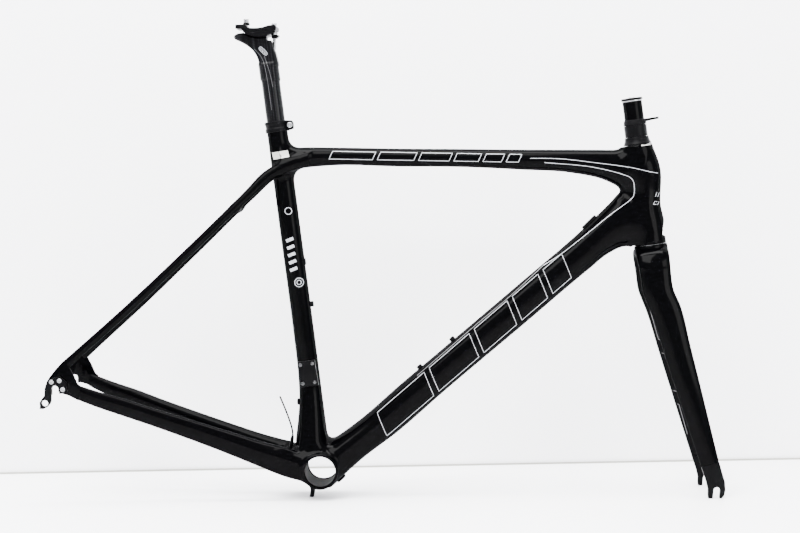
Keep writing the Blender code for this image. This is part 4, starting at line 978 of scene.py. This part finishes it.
def add_seat_collar():
    low, high = 505.7, 521.6
    ring = [(15.5, low), (17.1, low), (17.4, low + 0.8), (17.1, 511.2), (16.3, 512.2), (16.3, 516.4), (17.1, 517.2),
            (17.4, high - 0.8), (17.0, high), (15.5, high)]
    lathe("collar_ring", ring, SEAT, ANODISED, "frame", ("seat_collar",), 0.3, 96)
    block = [(16.0, low + 0.4), (24.5, low + 2.2), (25.2, low + 6.0), (25.2, high - 5.0), (23.6, high - 1.2),
             (16.0, high - 0.3)]
    for word, inner, outer in (("right", -8.0, -0.9), ("left", 0.9, 8.0)):
        machined("collar_lug_" + word, block, inner, outer, SEAT, ANODISED, "frame", (), (), 0.9)
    head = [(0.0, -10.0), (2.4, -10.0), (2.4, 0.0), (4.0, 0.0), (4.0, 2.6), (3.4, 3.1), (2.1, 3.1), (2.0, 0.8),
            (0.0, 0.8)]
    lathe("collar_bolt_head", head, at(SEAT, 20.3, -8.2, 513.8, TO_RIGHT), STEEL, "frame", ("seat_collar_bolt",),
          0.3, 48)
    nut = [(2.4, 0.0), (3.9, 0.0), (3.9, 3.0), (2.4, 3.0)]
    lathe("collar_barrel", nut, at(SEAT, 20.3, 8.2, 513.8, TO_LEFT), ANODISED, "frame", ("seat_collar_nut",), 0.4, 48)


# Seatpost and saddle clamp

ROCKER_R = 42.0


def level(x, z):
    return (x, z - RAIL_DROP)


HEAD_SIDE = [level(25.4, -42.0), level(23.4, -33.5), level(21.0, -27.0), level(18.8, -20.0), level(17.2, -14.0),
             level(10.5, -13.0)] + arc((0.0, 0.0), ROCKER_R + 0.3, -75.6, -124.0, 18) + [
             level(-33.0, -2.6), level(-38.0, -5.6), level(-38.6, -8.6), level(-36.5, -11.4), level(-33.0, -12.9),
             level(-25.5, -16.6), level(-18.0, -21.4), level(-10.5, -28.0), level(-5.2, -36.4), level(-2.4, -45.0),
             level(-3.0, -70.0), level(30.0, -70.0)]


def outline_distance(outline, a, b):
    """The signed distance from a closed outline, negative inside."""
    best = np.full(a.shape, np.inf)
    inside = np.zeros(a.shape, dtype=bool)
    count = len(outline)
    for k in range(count):
        (x0, z0), (x1, z1) = outline[k], outline[(k + 1) % count]
        ex, ez = x1 - x0, z1 - z0
        t = np.clip(((a - x0) * ex + (b - z0) * ez) / (ex * ex + ez * ez), 0.0, 1.0)
        best = np.minimum(best, (a - x0 - t * ex) ** 2 + (b - z0 - t * ez) ** 2)
        if z0 != z1:
            crossed = ((z0 > b) != (z1 > b)) & (a < x0 + (b - z0) * ex / ez)
            inside ^= crossed
    return np.where(inside, -1.0, 1.0) * np.sqrt(best)


class PostSkin:
    """The seatpost above the collar: a round shaft running into a flat-sided head with two open pockets."""

    def __init__(self):
        turn = math.radians(SEAT_ANGLE) + STANCE
        self.up = (-math.cos(turn), math.sin(turn))
        there = LEVEL.inverted() @ SEAT @ Vector((0.0, 0.0, MM * 520.0))
        self.shaft = rod((there.x / MM, there.z / MM), self.up, POST_R, -1.0, 86.0)
        self.core = rod((there.x / MM, there.z / MM), self.up, POST_R, -1.0, 400.0)

    def combined(self, side, x, y, z):
        edge = 2.6
        flat = np.abs(y) - 12.0
        u, v = side + edge, flat + edge
        head = np.hypot(np.maximum(u, 0.0), np.maximum(v, 0.0)) + np.minimum(np.maximum(u, v), 0.0) - edge
        flare = 0.9 * np.maximum(z + RAIL_DROP + 52.0, 0.0) ** 1.15
        head = np.maximum(head, self.core(x, y, z) - flare)
        found = blend_of(head, self.shaft(x, y, z), 5.0)
        rear = np.maximum(np.maximum(-29.4 - x, x + 12.0), np.maximum(np.abs(y) - 8.0, (-13.4 - RAIL_DROP) - z))
        front = np.maximum(np.maximum(11.0 - x, x - 40.0), np.maximum(np.abs(y) - 3.3, (-32.0 - RAIL_DROP) - z))
        return np.maximum(np.maximum(found, -rear), -front)

    def grid(self, xs, ys, zs):
        x, y, z = np.meshgrid(xs, ys, zs, indexing="ij")
        plane = outline_distance(HEAD_SIDE, x[:, 0, :], z[:, 0, :])
        return self.combined(np.repeat(plane[:, None, :], len(ys), axis=1), x, y, z)

    def at(self, points):
        x, y, z = points.T
        return self.combined(outline_distance(HEAD_SIDE, x, z), x, y, z)


def wrap_round(piece, axes):
    """Gives a piece a map of millimetres round and along its axis, for the weave."""
    mesh = piece.data
    local = axes.inverted()
    layer = mesh.uv_layers.new(name="weave")
    for face in mesh.polygons:
        turns = []
        for loop in face.loop_indices:
            spot = local @ mesh.vertices[mesh.loops[loop].vertex_index].co
            turns.append((math.atan2(spot.y, spot.x), spot.z))
        wide = max(t for t, _ in turns) - min(t for t, _ in turns) > math.pi
        for loop, (turn, height) in zip(face.loop_indices, turns):
            if wide and turn < 0.0:
                turn += 2.0 * math.pi
            layer.data[loop].uv = (turn * POST_R * MM, height)


def add_seatpost():
    points, quads = surface(PostSkin(), (-46.0, -17.0, -178.0), (46.0, 17.0, -28.0), 1.0)
    head = put("seatpost_head", points, quads, LEVEL, WEAVE, "seatpost", ("seatpost",), 50.0)
    shaft = [(11.6, 378.0), (POST_R, 378.0), (POST_R, 521.5), (11.6, 521.5)]
    tube = lathe("seatpost_shaft", shaft, SEAT, WEAVE, "seatpost", (), 0.5, 96)
    wrap_round(head, SEAT)
    wrap_round(tube, SEAT)
    return head


def rail_tools():
    found = []
    for side in (-22.0, 22.0):
        circle = arc((side, -RAIL_DROP - 0.8), 3.6, 0.0, 352.5, 47)
        count = len(circle)
        points = [(-60.0, y, z) for y, z in circle] + [(60.0, y, z) for y, z in circle]
        faces = [range(count), range(2 * count - 1, count - 1, -1)]
        faces += [(k, k + count, (k + 1) % count + count, (k + 1) % count) for k in range(count)]
        found.append((points, faces))
    return found


def add_saddle_clamp():
    cradle = [level(23.2, -0.3)] + arc((0.0, 0.0), ROCKER_R, -56.5, -123.5, 40) + [level(-23.2, -0.3)]
    machined("clamp_cradle", cradle, -26.0, 26.0, LEVEL, ANODISED, "saddle_clamp", ("saddle_clamp_cradle",),
             rail_tools(), 0.7)
    top = [level(24.0, 0.3), level(25.6, 3.5), level(25.2, 6.6), level(23.0, 8.2), level(14.0, 7.4), level(6.0, 4.9),
           level(-1.0, 4.0), level(-8.0, 3.9), level(-14.0, 4.2), level(-16.5, 5.0), level(-19.5, 9.4),
           level(-34.0, 9.2), level(-34.5, 3.7), level(-25.4, 3.3), level(-24.4, 0.3)]
    machined("clamp_top", top, -26.0, 26.0, LEVEL, ANODISED, "saddle_clamp", ("saddle_clamp_top",), rail_tools(), 0.8)

    def bolt(low, seat, high):
        return [(0.0, low), (2.4, low), (2.4, seat), (4.0, seat), (4.0, high - 0.5), (3.5, high), (2.1, high),
                (2.0, high - 2.4), (0.0, high - 2.4)]
    lathe("clamp_bolt_rear", bolt(-10.6 - RAIL_DROP, 13.4 - RAIL_DROP, 19.2 - RAIL_DROP),
          at(LEVEL, -20.7, 0.0, 0.0), STEEL, "saddle_clamp", ("saddle_clamp_rear_bolt",), 0.3, 48)
    lathe("clamp_bolt_front", threaded(-27.0 - RAIL_DROP, 8.6 - RAIL_DROP, 12.2 - RAIL_DROP),
          at(LEVEL, 20.7, 0.0, 0.0), STEEL, "saddle_clamp", ("saddle_clamp_front_bolt",), 0.08, 48)
    lathe("clamp_washer_rear", [(2.5, 9.6), (5.4, 9.6), (5.4, 10.8), (4.6, 13.2), (2.5, 13.2)],
          at(LEVEL, -20.7, 0.0, -RAIL_DROP), ANODISED, "saddle_clamp", (), 0.3, 48)
    lathe("clamp_nut_rear", [(0.0, -7.0), (3.3, -7.0), (3.3, 7.0), (0.0, 7.0)],
          at(LEVEL, -20.7, 0.0, -7.2 - RAIL_DROP, TO_LEFT), ANODISED, "saddle_clamp", ("saddle_clamp_rear_nut",),
          0.5, 48)
    nut = [level(17.0, -5.4), level(24.8, -5.0), level(28.6, -6.4), level(24.4, -10.6), level(17.0, -10.8)]
    machined("clamp_nut_front", nut, -8.0, 8.0, LEVEL, ANODISED, "saddle_clamp", ("saddle_clamp_front_nut",), (), 0.7)


def threaded(low, seat, high):
    """A bolt's profile, with thread ridges on the length of shank that shows below the clamp."""
    found = [(0.0, low), (1.9, low)]
    height = low + 0.4
    while height < low + 17.0:
        found += [(2.5, height), (2.15, height + 0.4)]
        height += 0.8
    return found + [(2.5, height), (2.5, seat), (4.0, seat), (4.0, high - 0.5), (3.5, high), (2.1, high),
                    (2.0, high - 2.4), (0.0, high - 2.4)]


# Small fittings on the frame

def facing(normal):
    """The turn that points z along a chart direction (x, z)."""
    return Matrix.Rotation(math.atan2(normal[0], normal[1]), 4, "Y")


DOWN_NORMAL = (-0.7615, 0.6482)
DOWN_ALONG = (0.6482, 0.7615)


def pill(name, centre, normal, size, thick, lift, look, nodes):
    """A domed oval cover: rings of a rounded oblong that close over its top."""
    count = 56
    rings = [(1.0, 0.0), (1.0, 0.45), (0.96, 0.75), (0.86, 0.93), (0.6, 1.0), (0.25, 1.02)]
    points = []
    for scale, rise in rings:
        for k in range(count):
            turn = 2.0 * math.pi * k / count
            c, s = math.cos(turn), math.sin(turn)
            inset = (1.0 - scale) * 0.5 * size[1]
            x = (0.5 * size[0] - inset) * math.copysign(abs(c) ** 0.55, c)
            y = (0.5 * size[1] - inset) * math.copysign(abs(s) ** 0.55, s)
            points.append((x, y, lift - 2.0 if rise == 0.0 else lift + thick * rise))
    faces = [range(count), range((len(rings) - 1) * count, len(rings) * count)]
    for i in range(len(rings) - 1):
        faces += [(i * count + k, i * count + (k + 1) % count, (i + 1) * count + (k + 1) % count,
                   (i + 1) * count + k) for k in range(count)]
    return put(name, points, faces, at(CHART, centre[0], 0.0, centre[1], facing(normal)), look, "frame", nodes)


def add_fittings():
    bolt = [(0.0, -2.0), (4.2, -2.0), (4.2, 3.8), (3.6, 4.4), (2.1, 4.4), (2.0, 2.0), (0.0, 2.0)]
    for word, step in (("lower", 0.0), ("upper", 64.0)):
        x, z = 123.3 + step * DOWN_ALONG[0], 171.6 + step * DOWN_ALONG[1]
        lathe("cage_bolt_" + word, bolt, at(CHART, x, 0.0, z, facing(DOWN_NORMAL)), ANODISED, "frame",
              ("down_tube_bottle_bolt_" + word,), 0.5, 56)
    front = Matrix.Rotation(math.radians(90.0), 4, "Y")
    lathe("cage_bolt_seat", bolt, at(SEAT, 15.8, 0.0, 246.0, front), ANODISED, "frame",
          ("seat_tube_bottle_bolt",), 0.5, 56)
    lathe("cage_insert_seat", [(2.5, -1.5), (5.0, -1.5), (5.0, 0.8), (4.6, 1.2), (2.5, 1.2)],
          at(SEAT, 15.6, 0.0, 310.0, front), ANODISED, "frame", ("seat_tube_bottle_insert",), 0.3, 56)
    outline = [seat_point(126.0, -13.5), seat_point(126.0, 13.0), seat_point(164.0, 12.0), seat_point(164.0, -13.5)]
    rivets = [seat_point(height, offset) for height in (131.0, 159.0) for offset in (-10.0, 8.0)]
    sinks = [plate_mesh(arc(spot, 2.8, 0.0, 345.0, 23), -30.0, -19.0) for spot in rivets]
    machined("mech_plate", outline, -20.5, -12.0, CHART, ANODISED, "frame", ("front_derailleur_plate",), sinks, 0.5)
    rivet = [(0.0, -1.2), (2.6, -1.2), (2.6, -0.5), (1.8, -0.15), (0.0, -0.12)]
    for number, (x, z) in enumerate(rivets, 1):
        lathe("mech_rivet_%d" % number, rivet, at(CHART, x, -20.5, z, TO_RIGHT), DULL_STEEL, "frame",
              ("derailleur_plate_rivet_%d" % number,), 0.2, 40)
    lathe("rear_grommet", [(0.0, -2.0), (5.0, -2.0), (5.0, 0.6), (4.2, 2.2), (3.0, 2.8), (0.0, 2.8)],
          at(SEAT, -21.0, 0.0, 103.0, Matrix.Rotation(math.radians(-82.0), 4, "Y")), RUBBER, "frame",
          ("seat_tube_grommet",), 0.5, 56)
    lathe("cable_end_ferrule",
          [(0.0, -4.0), (2.7, -4.0), (2.7, 3.0), (3.0, 3.4), (3.0, 4.6), (2.7, 5.0), (2.7, 12.0), (2.0, 17.0),
           (1.5, 17.2), (0.0, 17.2)], at(CHART, -50.4, 0.0, 24.3), ANODISED, "frame", ("cable_ferrule",), 0.3, 48)
    guide = arc((0.0, 0.0), SHELL_R + 0.2, -62.0, -128.0, 16)
    guide += [(-17.0, -24.5), (-13.6, -30.0), (-11.4, -34.0), (-11.2, floor_height(-11.2)),
              (-5.0, floor_height(-5.0)), (-4.6, -33.0), (4.0, -30.0), (12.6, -26.5)]
    machined("cable_guide", guide, -8.0, 8.0, CHART, PLASTIC, "frame", ("bottom_bracket_cable_guide",), (), 0.9)
    pill("port_cover", (338.5, 423.4), (-0.803, 0.595), (27.0, 13.0), 2.4, 0.9, PLASTIC,
         ("down_tube_port_cover",))
    pill("cable_exit", (30.5, -10.5), (0.777, -0.63), (15.0, 14.0), 3.0, 0.5, RUBBER, ("lower_cable_exit",))


# The cut end of the front derailleur's cable

CABLE_ROUTE = [(-50.4, 41.6), (-51.4, 47.0), (-54.2, 54.5), (-58.6, 63.5), (-64.0, 73.4), (-70.4, 84.2),
               (-78.0, 96.6)]


def add_cable():
    ends = [CABLE_ROUTE[0]] + CABLE_ROUTE + [CABLE_ROUTE[-1]]
    path = []
    for k in range(1, len(ends) - 2):
        p0, p1, p2, p3 = (Vector(p) for p in ends[k - 1:k + 3])
        for i in range(4):
            t = i / 4.0
            path.append(0.5 * (2.0 * p1 + (p2 - p0) * t + (2.0 * p0 - 5.0 * p1 + 4.0 * p2 - p3) * t * t
                               + (3.0 * p1 - p0 - 3.0 * p2 + p3) * t ** 3))
    path.append(Vector(CABLE_ROUTE[-1]))
    places = [CHART @ Vector((MM * p.x, 0.0, MM * p.y)) for p in path]
    curve = bpy.data.curves.new("cable_end", "CURVE")
    curve.dimensions = "3D"
    curve.bevel_depth = 0.0013
    curve.bevel_resolution = 5
    curve.use_fill_caps = True
    spline = curve.splines.new("POLY")
    spline.points.add(len(places) - 1)
    for point, place in zip(spline.points, places):
        point.co = (*place, 1.0)
    curve.materials.append(PLASTIC)
    made = bpy.data.objects.new("cable_end", curve)
    bpy.context.scene.collection.objects.link(made)
    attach(made, "frame")
    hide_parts("derailleur_cable_stub")


# Graphics and painted highlights: thin strips of ink and of pale highlight grey that follow the surface under them

def curve_through(points, spacing, straight):
    if straight:
        rows = []
        for a, b in zip(points, points[1:]):
            steps = max(int(math.dist(a, b) / spacing), 1)
            rows += [Vector(a).lerp(Vector(b), i / steps) for i in range(steps)]
        return rows + [Vector(points[-1])]
    ends = [points[0]] + list(points) + [points[-1]]
    rows = []
    for k in range(1, len(ends) - 2):
        p0, p1, p2, p3 = (Vector(p) for p in ends[k - 1:k + 3])
        steps = max(int((p2 - p1).length / spacing), 1)
        for i in range(steps):
            t = i / steps
            rows.append(0.5 * (2.0 * p1 + (p2 - p0) * t + (2.0 * p0 - 5.0 * p1 + 4.0 * p2 - p3) * t * t
                               + (3.0 * p1 - p0 - 3.0 * p2 + p3) * t ** 3))
    return rows + [Vector(points[-1])]


def ink_and_highlight_line(name, lines, width, tree, axes, look, body, sides=(-1.0, 1.0), straight=False, start=120.0, stop=0.0):
    """Draws lines given in a plane (x, z) on the surface seen from each side."""
    points, faces = [], []
    turn = axes.to_3x3()
    for side in sides:
        for line in lines:
            path = curve_through(line, 2.5, straight)
            previous = None
            for k, spot in enumerate(path):
                ahead = path[min(k + 1, len(path) - 1)] - path[max(k - 1, 0)]
                across = Vector((-ahead.y, ahead.x)).normalized() * 0.5 * width
                row = []
                for part in (-1.0, 0.0, 1.0):
                    x, z = spot + across * part
                    origin = axes @ Vector((MM * x, MM * side * start, MM * z))
                    heading = turn @ Vector((0.0, -side, 0.0))
                    place, normal, _, _ = tree.ray_cast(origin, heading, MM * (start - stop))
                    if place is None or abs(normal.dot(heading)) < 0.12:
                        row = None
                        break
                    row.append(axes.inverted() @ (place - heading.normalized() * MM * 0.12) / MM)
                if row is not None:
                    points += [tuple(p) for p in row]
                    base = len(points) - 3
                    if previous is not None:
                        for j in (0, 1):
                            faces.append((previous + j, previous + j + 1, base + j + 1, base + j))
                    previous = base
                else:
                    previous = None
    if not faces:
        return None
    made = put(name, points, faces, axes, look, body, (), 60.0)
    return made


def highlight_patch(name, corners, tree, axes, look, body, sides=(-1.0,), steps=(14, 14)):
    """A four-cornered patch of painted highlight, given by its corners in a plane (x, z)."""
    a, b, c, d = (Vector(p) for p in corners)
    points, faces = [], []
    turn = axes.to_3x3()
    for side in sides:
        numbers = {}
        for i in range(steps[0] + 1):
            for j in range(steps[1] + 1):
                u, v = i / steps[0], j / steps[1]
                x, z = a.lerp(b, u).lerp(d.lerp(c, u), v)
                heading = turn @ Vector((0.0, -side, 0.0))
                place, _, _, _ = tree.ray_cast(axes @ Vector((MM * x, MM * side * 120.0, MM * z)), heading, MM * 120.0)
                if place is not None:
                    numbers[i, j] = len(points)
                    points.append(tuple(axes.inverted() @ (place - heading * MM * 0.12) / MM))
        for i in range(steps[0]):
            for j in range(steps[1]):
                ring = [(i, j), (i + 1, j), (i + 1, j + 1), (i, j + 1)]
                if all(key in numbers for key in ring):
                    faces.append([numbers[key] for key in ring])
    if faces:
        put(name, points, faces, axes, look, body, (), 60.0)


def slanted_box(centre, along, length, height, slant):
    """The outline of a leaning box whose base runs along a direction."""
    run = Vector(along).normalized()
    rise = Vector((-run.y, run.x))
    base = Vector(centre)
    corners = []
    for u, v in ((-0.5, -0.5), (0.5, -0.5), (0.5, 0.5), (-0.5, 0.5), (-0.5, -0.5)):
        spot = base + run * (u * length + v * slant) + rise * v * height
        corners.append((spot.x, spot.y))
    return corners


def leaning_row(start, along, first, lengths, gap, height, slant):
    """A row of leaning boxes that get shorter along a direction."""
    run = Vector(along).normalized()
    found = []
    reach = first
    for length in lengths:
        centre = Vector(start) + run * (reach + 0.5 * length)
        found.append(slanted_box(centre, along, length, height, slant))
        reach += length + gap
    return found


def tree_of(piece):
    mesh = piece.data
    return BVHTree.FromPolygons([v.co.copy() for v in mesh.vertices], [tuple(p.vertices) for p in mesh.polygons])


# Lines along the frame, in the chart
UPPER_STRIPE = [(236.0, 504.0), (280.0, 510.0), (330.0, 512.0), (380.0, 513.0), (412.0, 511.0), (425.0, 511.0)]
LOWER_STRIPE = [(258.0, 501.0), (315.0, 505.0), (350.0, 504.0), (375.0, 501.0), (386.0, 498.0), (392.0, 491.0),
                (395.0, 475.0), (390.0, 465.0), (365.0, 440.0), (330.0, 401.0), (302.0, 371.0), (280.0, 351.0)]
DOWN_STRIPE = [(280.0, 351.0), (240.0, 301.0), (200.0, 255.0), (160.0, 208.0), (120.0, 161.0)]
POST_LINES = [[(-190.0, 602.0), (-177.0, 590.5), (-167.5, 570.0), (-155.5, 531.5), (-151.5, 517.0)],
              [(-174.0, 594.0), (-163.5, 574.0), (-154.5, 551.0)]]


def rounded_row(centre, along, length, height):
    """A pill's outline, leaning along a direction."""
    run = Vector(along).normalized()
    rise = Vector((-run.y, run.x))
    found = []
    for k in range(37):
        turn = 2.0 * math.pi * k / 36
        c, t = math.cos(turn), math.sin(turn)
        spot = Vector(centre) + run * 0.5 * length * math.copysign(abs(c) ** 0.6, c)
        spot = spot + rise * 0.5 * height * math.copysign(abs(t) ** 0.6, t)
        found.append((spot.x, spot.y))
    return found


def add_graphics(skin, fork, post):
    tree = tree_of(skin)
    ink_and_highlight_line("frame_pinstripes", [UPPER_STRIPE, LOWER_STRIPE], 0.8, tree, CHART, PALE_INK, "frame")
    ink_and_highlight_line("down_tube_pinstripe", [DOWN_STRIPE], 0.7, tree, CHART, GREY_INK, "frame")
    # A pale grey line just below the head tube's top rim, on both sides: a painted highlight along the edge.
    worn = [[head_point(1.4, 3.0), head_point(1.6, 18.5)]]
    ink_and_highlight_line("head_tube_rim_painted_highlight", worn, 1.6, tree, CHART, PAINTED_HIGHLIGHT_GREY, "frame", straight=True)
    panels = leaning_row((25.4, 17.9), DOWN_ALONG, 84.0, (92.0, 78.0, 64.0, 50.0, 36.0), 10.0, 36.0, 12.0)
    ink_and_highlight_line("down_tube_panels", panels, 0.65, tree, CHART, PALE_INK, "frame", straight=True)
    bars = leaning_row((-55.0, 464.5), (0.991, 0.134), 0.0, (64.0, 54.0, 45.0, 36.0, 27.0, 18.0), 7.0, 11.5, 5.0)
    ink_and_highlight_line("top_tube_panels", bars, 0.75, tree, CHART, PALE_INK, "frame", straight=True)
    # A pale grey patch where the stays and the top tube run over the seat tube: a painted highlight.
    highlight_patch("seat_cluster_painted_highlight", [(-142.0, 455.0), (-119.0, 462.0), (-115.0, 453.0), (-138.0, 445.0)], tree, CHART,
              PAINTED_HIGHLIGHT_GREY, "frame")
    rounds = [arc(seat_point(height, offset), radius, 0.0, 360.0, 28)
              for height, offset, radius in ((281.0, 4.0, 6.5), (281.0, 4.0, 3.2), (388.0, 2.0, 5.0))]
    ink_and_highlight_line("seat_tube_rounds", rounds, 0.9, tree, CHART, PALE_INK, "frame", straight=True)
    steps = [[seat_point(height, -7.0), seat_point(height + 3.0, 4.0)] for height in (300.0, 311.0, 322.0, 333.0, 344.0)]
    ink_and_highlight_line("seat_tube_steps", steps, 4.5, tree, CHART, PALE_INK, "frame", straight=True)
    badge = [slanted_box(head_point(88.0, 14.5), (1.0, 0.1), 7.0, 4.5, 2.0),
             slanted_box(head_point(76.0, 18.0), (1.0, 0.1), 4.0, 6.0, 2.0)]
    ink_and_highlight_line("head_badge", badge, 0.8, tree, CHART, PALE_INK, "frame", straight=True)
    blade_tree = tree_of(fork)
    marks = []
    for drop, offset, reach in ((262.0, 0.0, 70.0), (345.0, 5.0, 60.0), (418.0, 12.0, 48.0)):
        x, z = steer_xz(head_point(drop, offset))
        marks.append(slanted_box((x, z), (0.16, -1.0), reach, 15.0, 7.0))
    ink_and_highlight_line("fork_panels", marks, 0.8, blade_tree, STEER, GREY_INK, "fork", straight=True, start=0.0, stop=-120.0)
    post_tree = tree_of(post)
    ink_and_highlight_line("post_lines", POST_LINES, 0.6, post_tree, CHART, GREY_INK, "seatpost")
    pill_spot, pill_run = (-176.5, 601.0), (0.8, -0.6)
    outline = rounded_row(pill_spot, pill_run, 15.0, 5.4)
    ticks = [rounded_row((pill_spot[0] + 0.8 * step, pill_spot[1] - 0.6 * step), pill_run, 2.6, 3.0)
             for step in (-4.2, 0.0, 4.2)]
    ink_and_highlight_line("post_badge", [outline] + ticks, 0.55, post_tree, CHART, PALE_INK, "seatpost", straight=True)


# Stage and light

def sheet_of(name, corners, look):
    mesh = bpy.data.meshes.new(name)
    mesh.from_pydata(corners, [], [(0, 1, 2, 3)])
    mesh.materials.append(look)
    made = bpy.data.objects.new(name, mesh)
    bpy.context.scene.collection.objects.link(made)


def add_stage():
    reach = 6.0
    near, far = 0.254 - 0.04 * reach, 0.254 + 0.04 * reach
    floor = stage_paint("pale_floor", (0.86, 0.86, 0.87), 0.5)
    paint = stage_paint("pale_wall", (0.9, 0.9, 0.91), 0.8)
    sheet_of("floor", [(-reach, -reach, 0.0), (reach, -reach, 0.0), (reach, reach, 0.0), (-reach, reach, 0.0)], floor)
    sheet_of("wall", [(-reach, near, 0.0), (reach, far, 0.0), (reach, far, 4.0), (-reach, near, 4.0)], paint)
    # A thin grey sheet just in front of the foot of the wall: a painted shadow line where the floor meets the wall.
    corner_shadow_paint = stage_paint("wall_corner_painted_shadow", (0.3, 0.3, 0.27), 0.8)
    gap = 0.003
    sheet_of("wall_corner_painted_shadow", [(-reach, near - gap, 0.0), (reach, far - gap, 0.0), (reach, far - gap, gap),
                            (-reach, near - gap, gap)], corner_shadow_paint)


def add_light(name, place, aim, size, power, tall=None):
    data = bpy.data.lights.new(name, "AREA")
    data.shape = "RECTANGLE"
    data.size = size
    data.size_y = tall or size
    data.energy = power
    made = bpy.data.objects.new(name, data)
    bpy.context.scene.collection.objects.link(made)
    made.location = place
    made.rotation_euler = (Vector(aim) - Vector(place)).to_track_quat("-Z", "Y").to_euler()


def add_lights():
    add_light("key", (-0.6, -1.9, 2.6), (0.0, 0.0, 0.3), 2.0, 330.0)
    add_light("top", (0.0, -0.2, 2.6), (0.0, 0.0, 0.3), 2.4, 270.0, 0.9)
    add_light("fill", (2.2, -2.2, 1.2), (0.0, 0.0, 0.3), 1.6, 110.0)
    world = bpy.data.worlds.new("studio")
    world.use_nodes = True
    back = world.node_tree.nodes["Background"]
    back.inputs["Color"].default_value = (0.93, 0.95, 1.0, 1.0)
    back.inputs["Strength"].default_value = 2.1
    bpy.context.scene.world = world


add_camera()
add_cable()
skin = add_frame_skin()
add_shell()
add_rear_ends()
fork = add_fork()
add_fork_tips()
add_steering_parts()
add_seat_collar()
post = add_seatpost()
add_saddle_clamp()
add_fittings()
add_graphics(skin, fork, post)
add_stage()
add_lights()
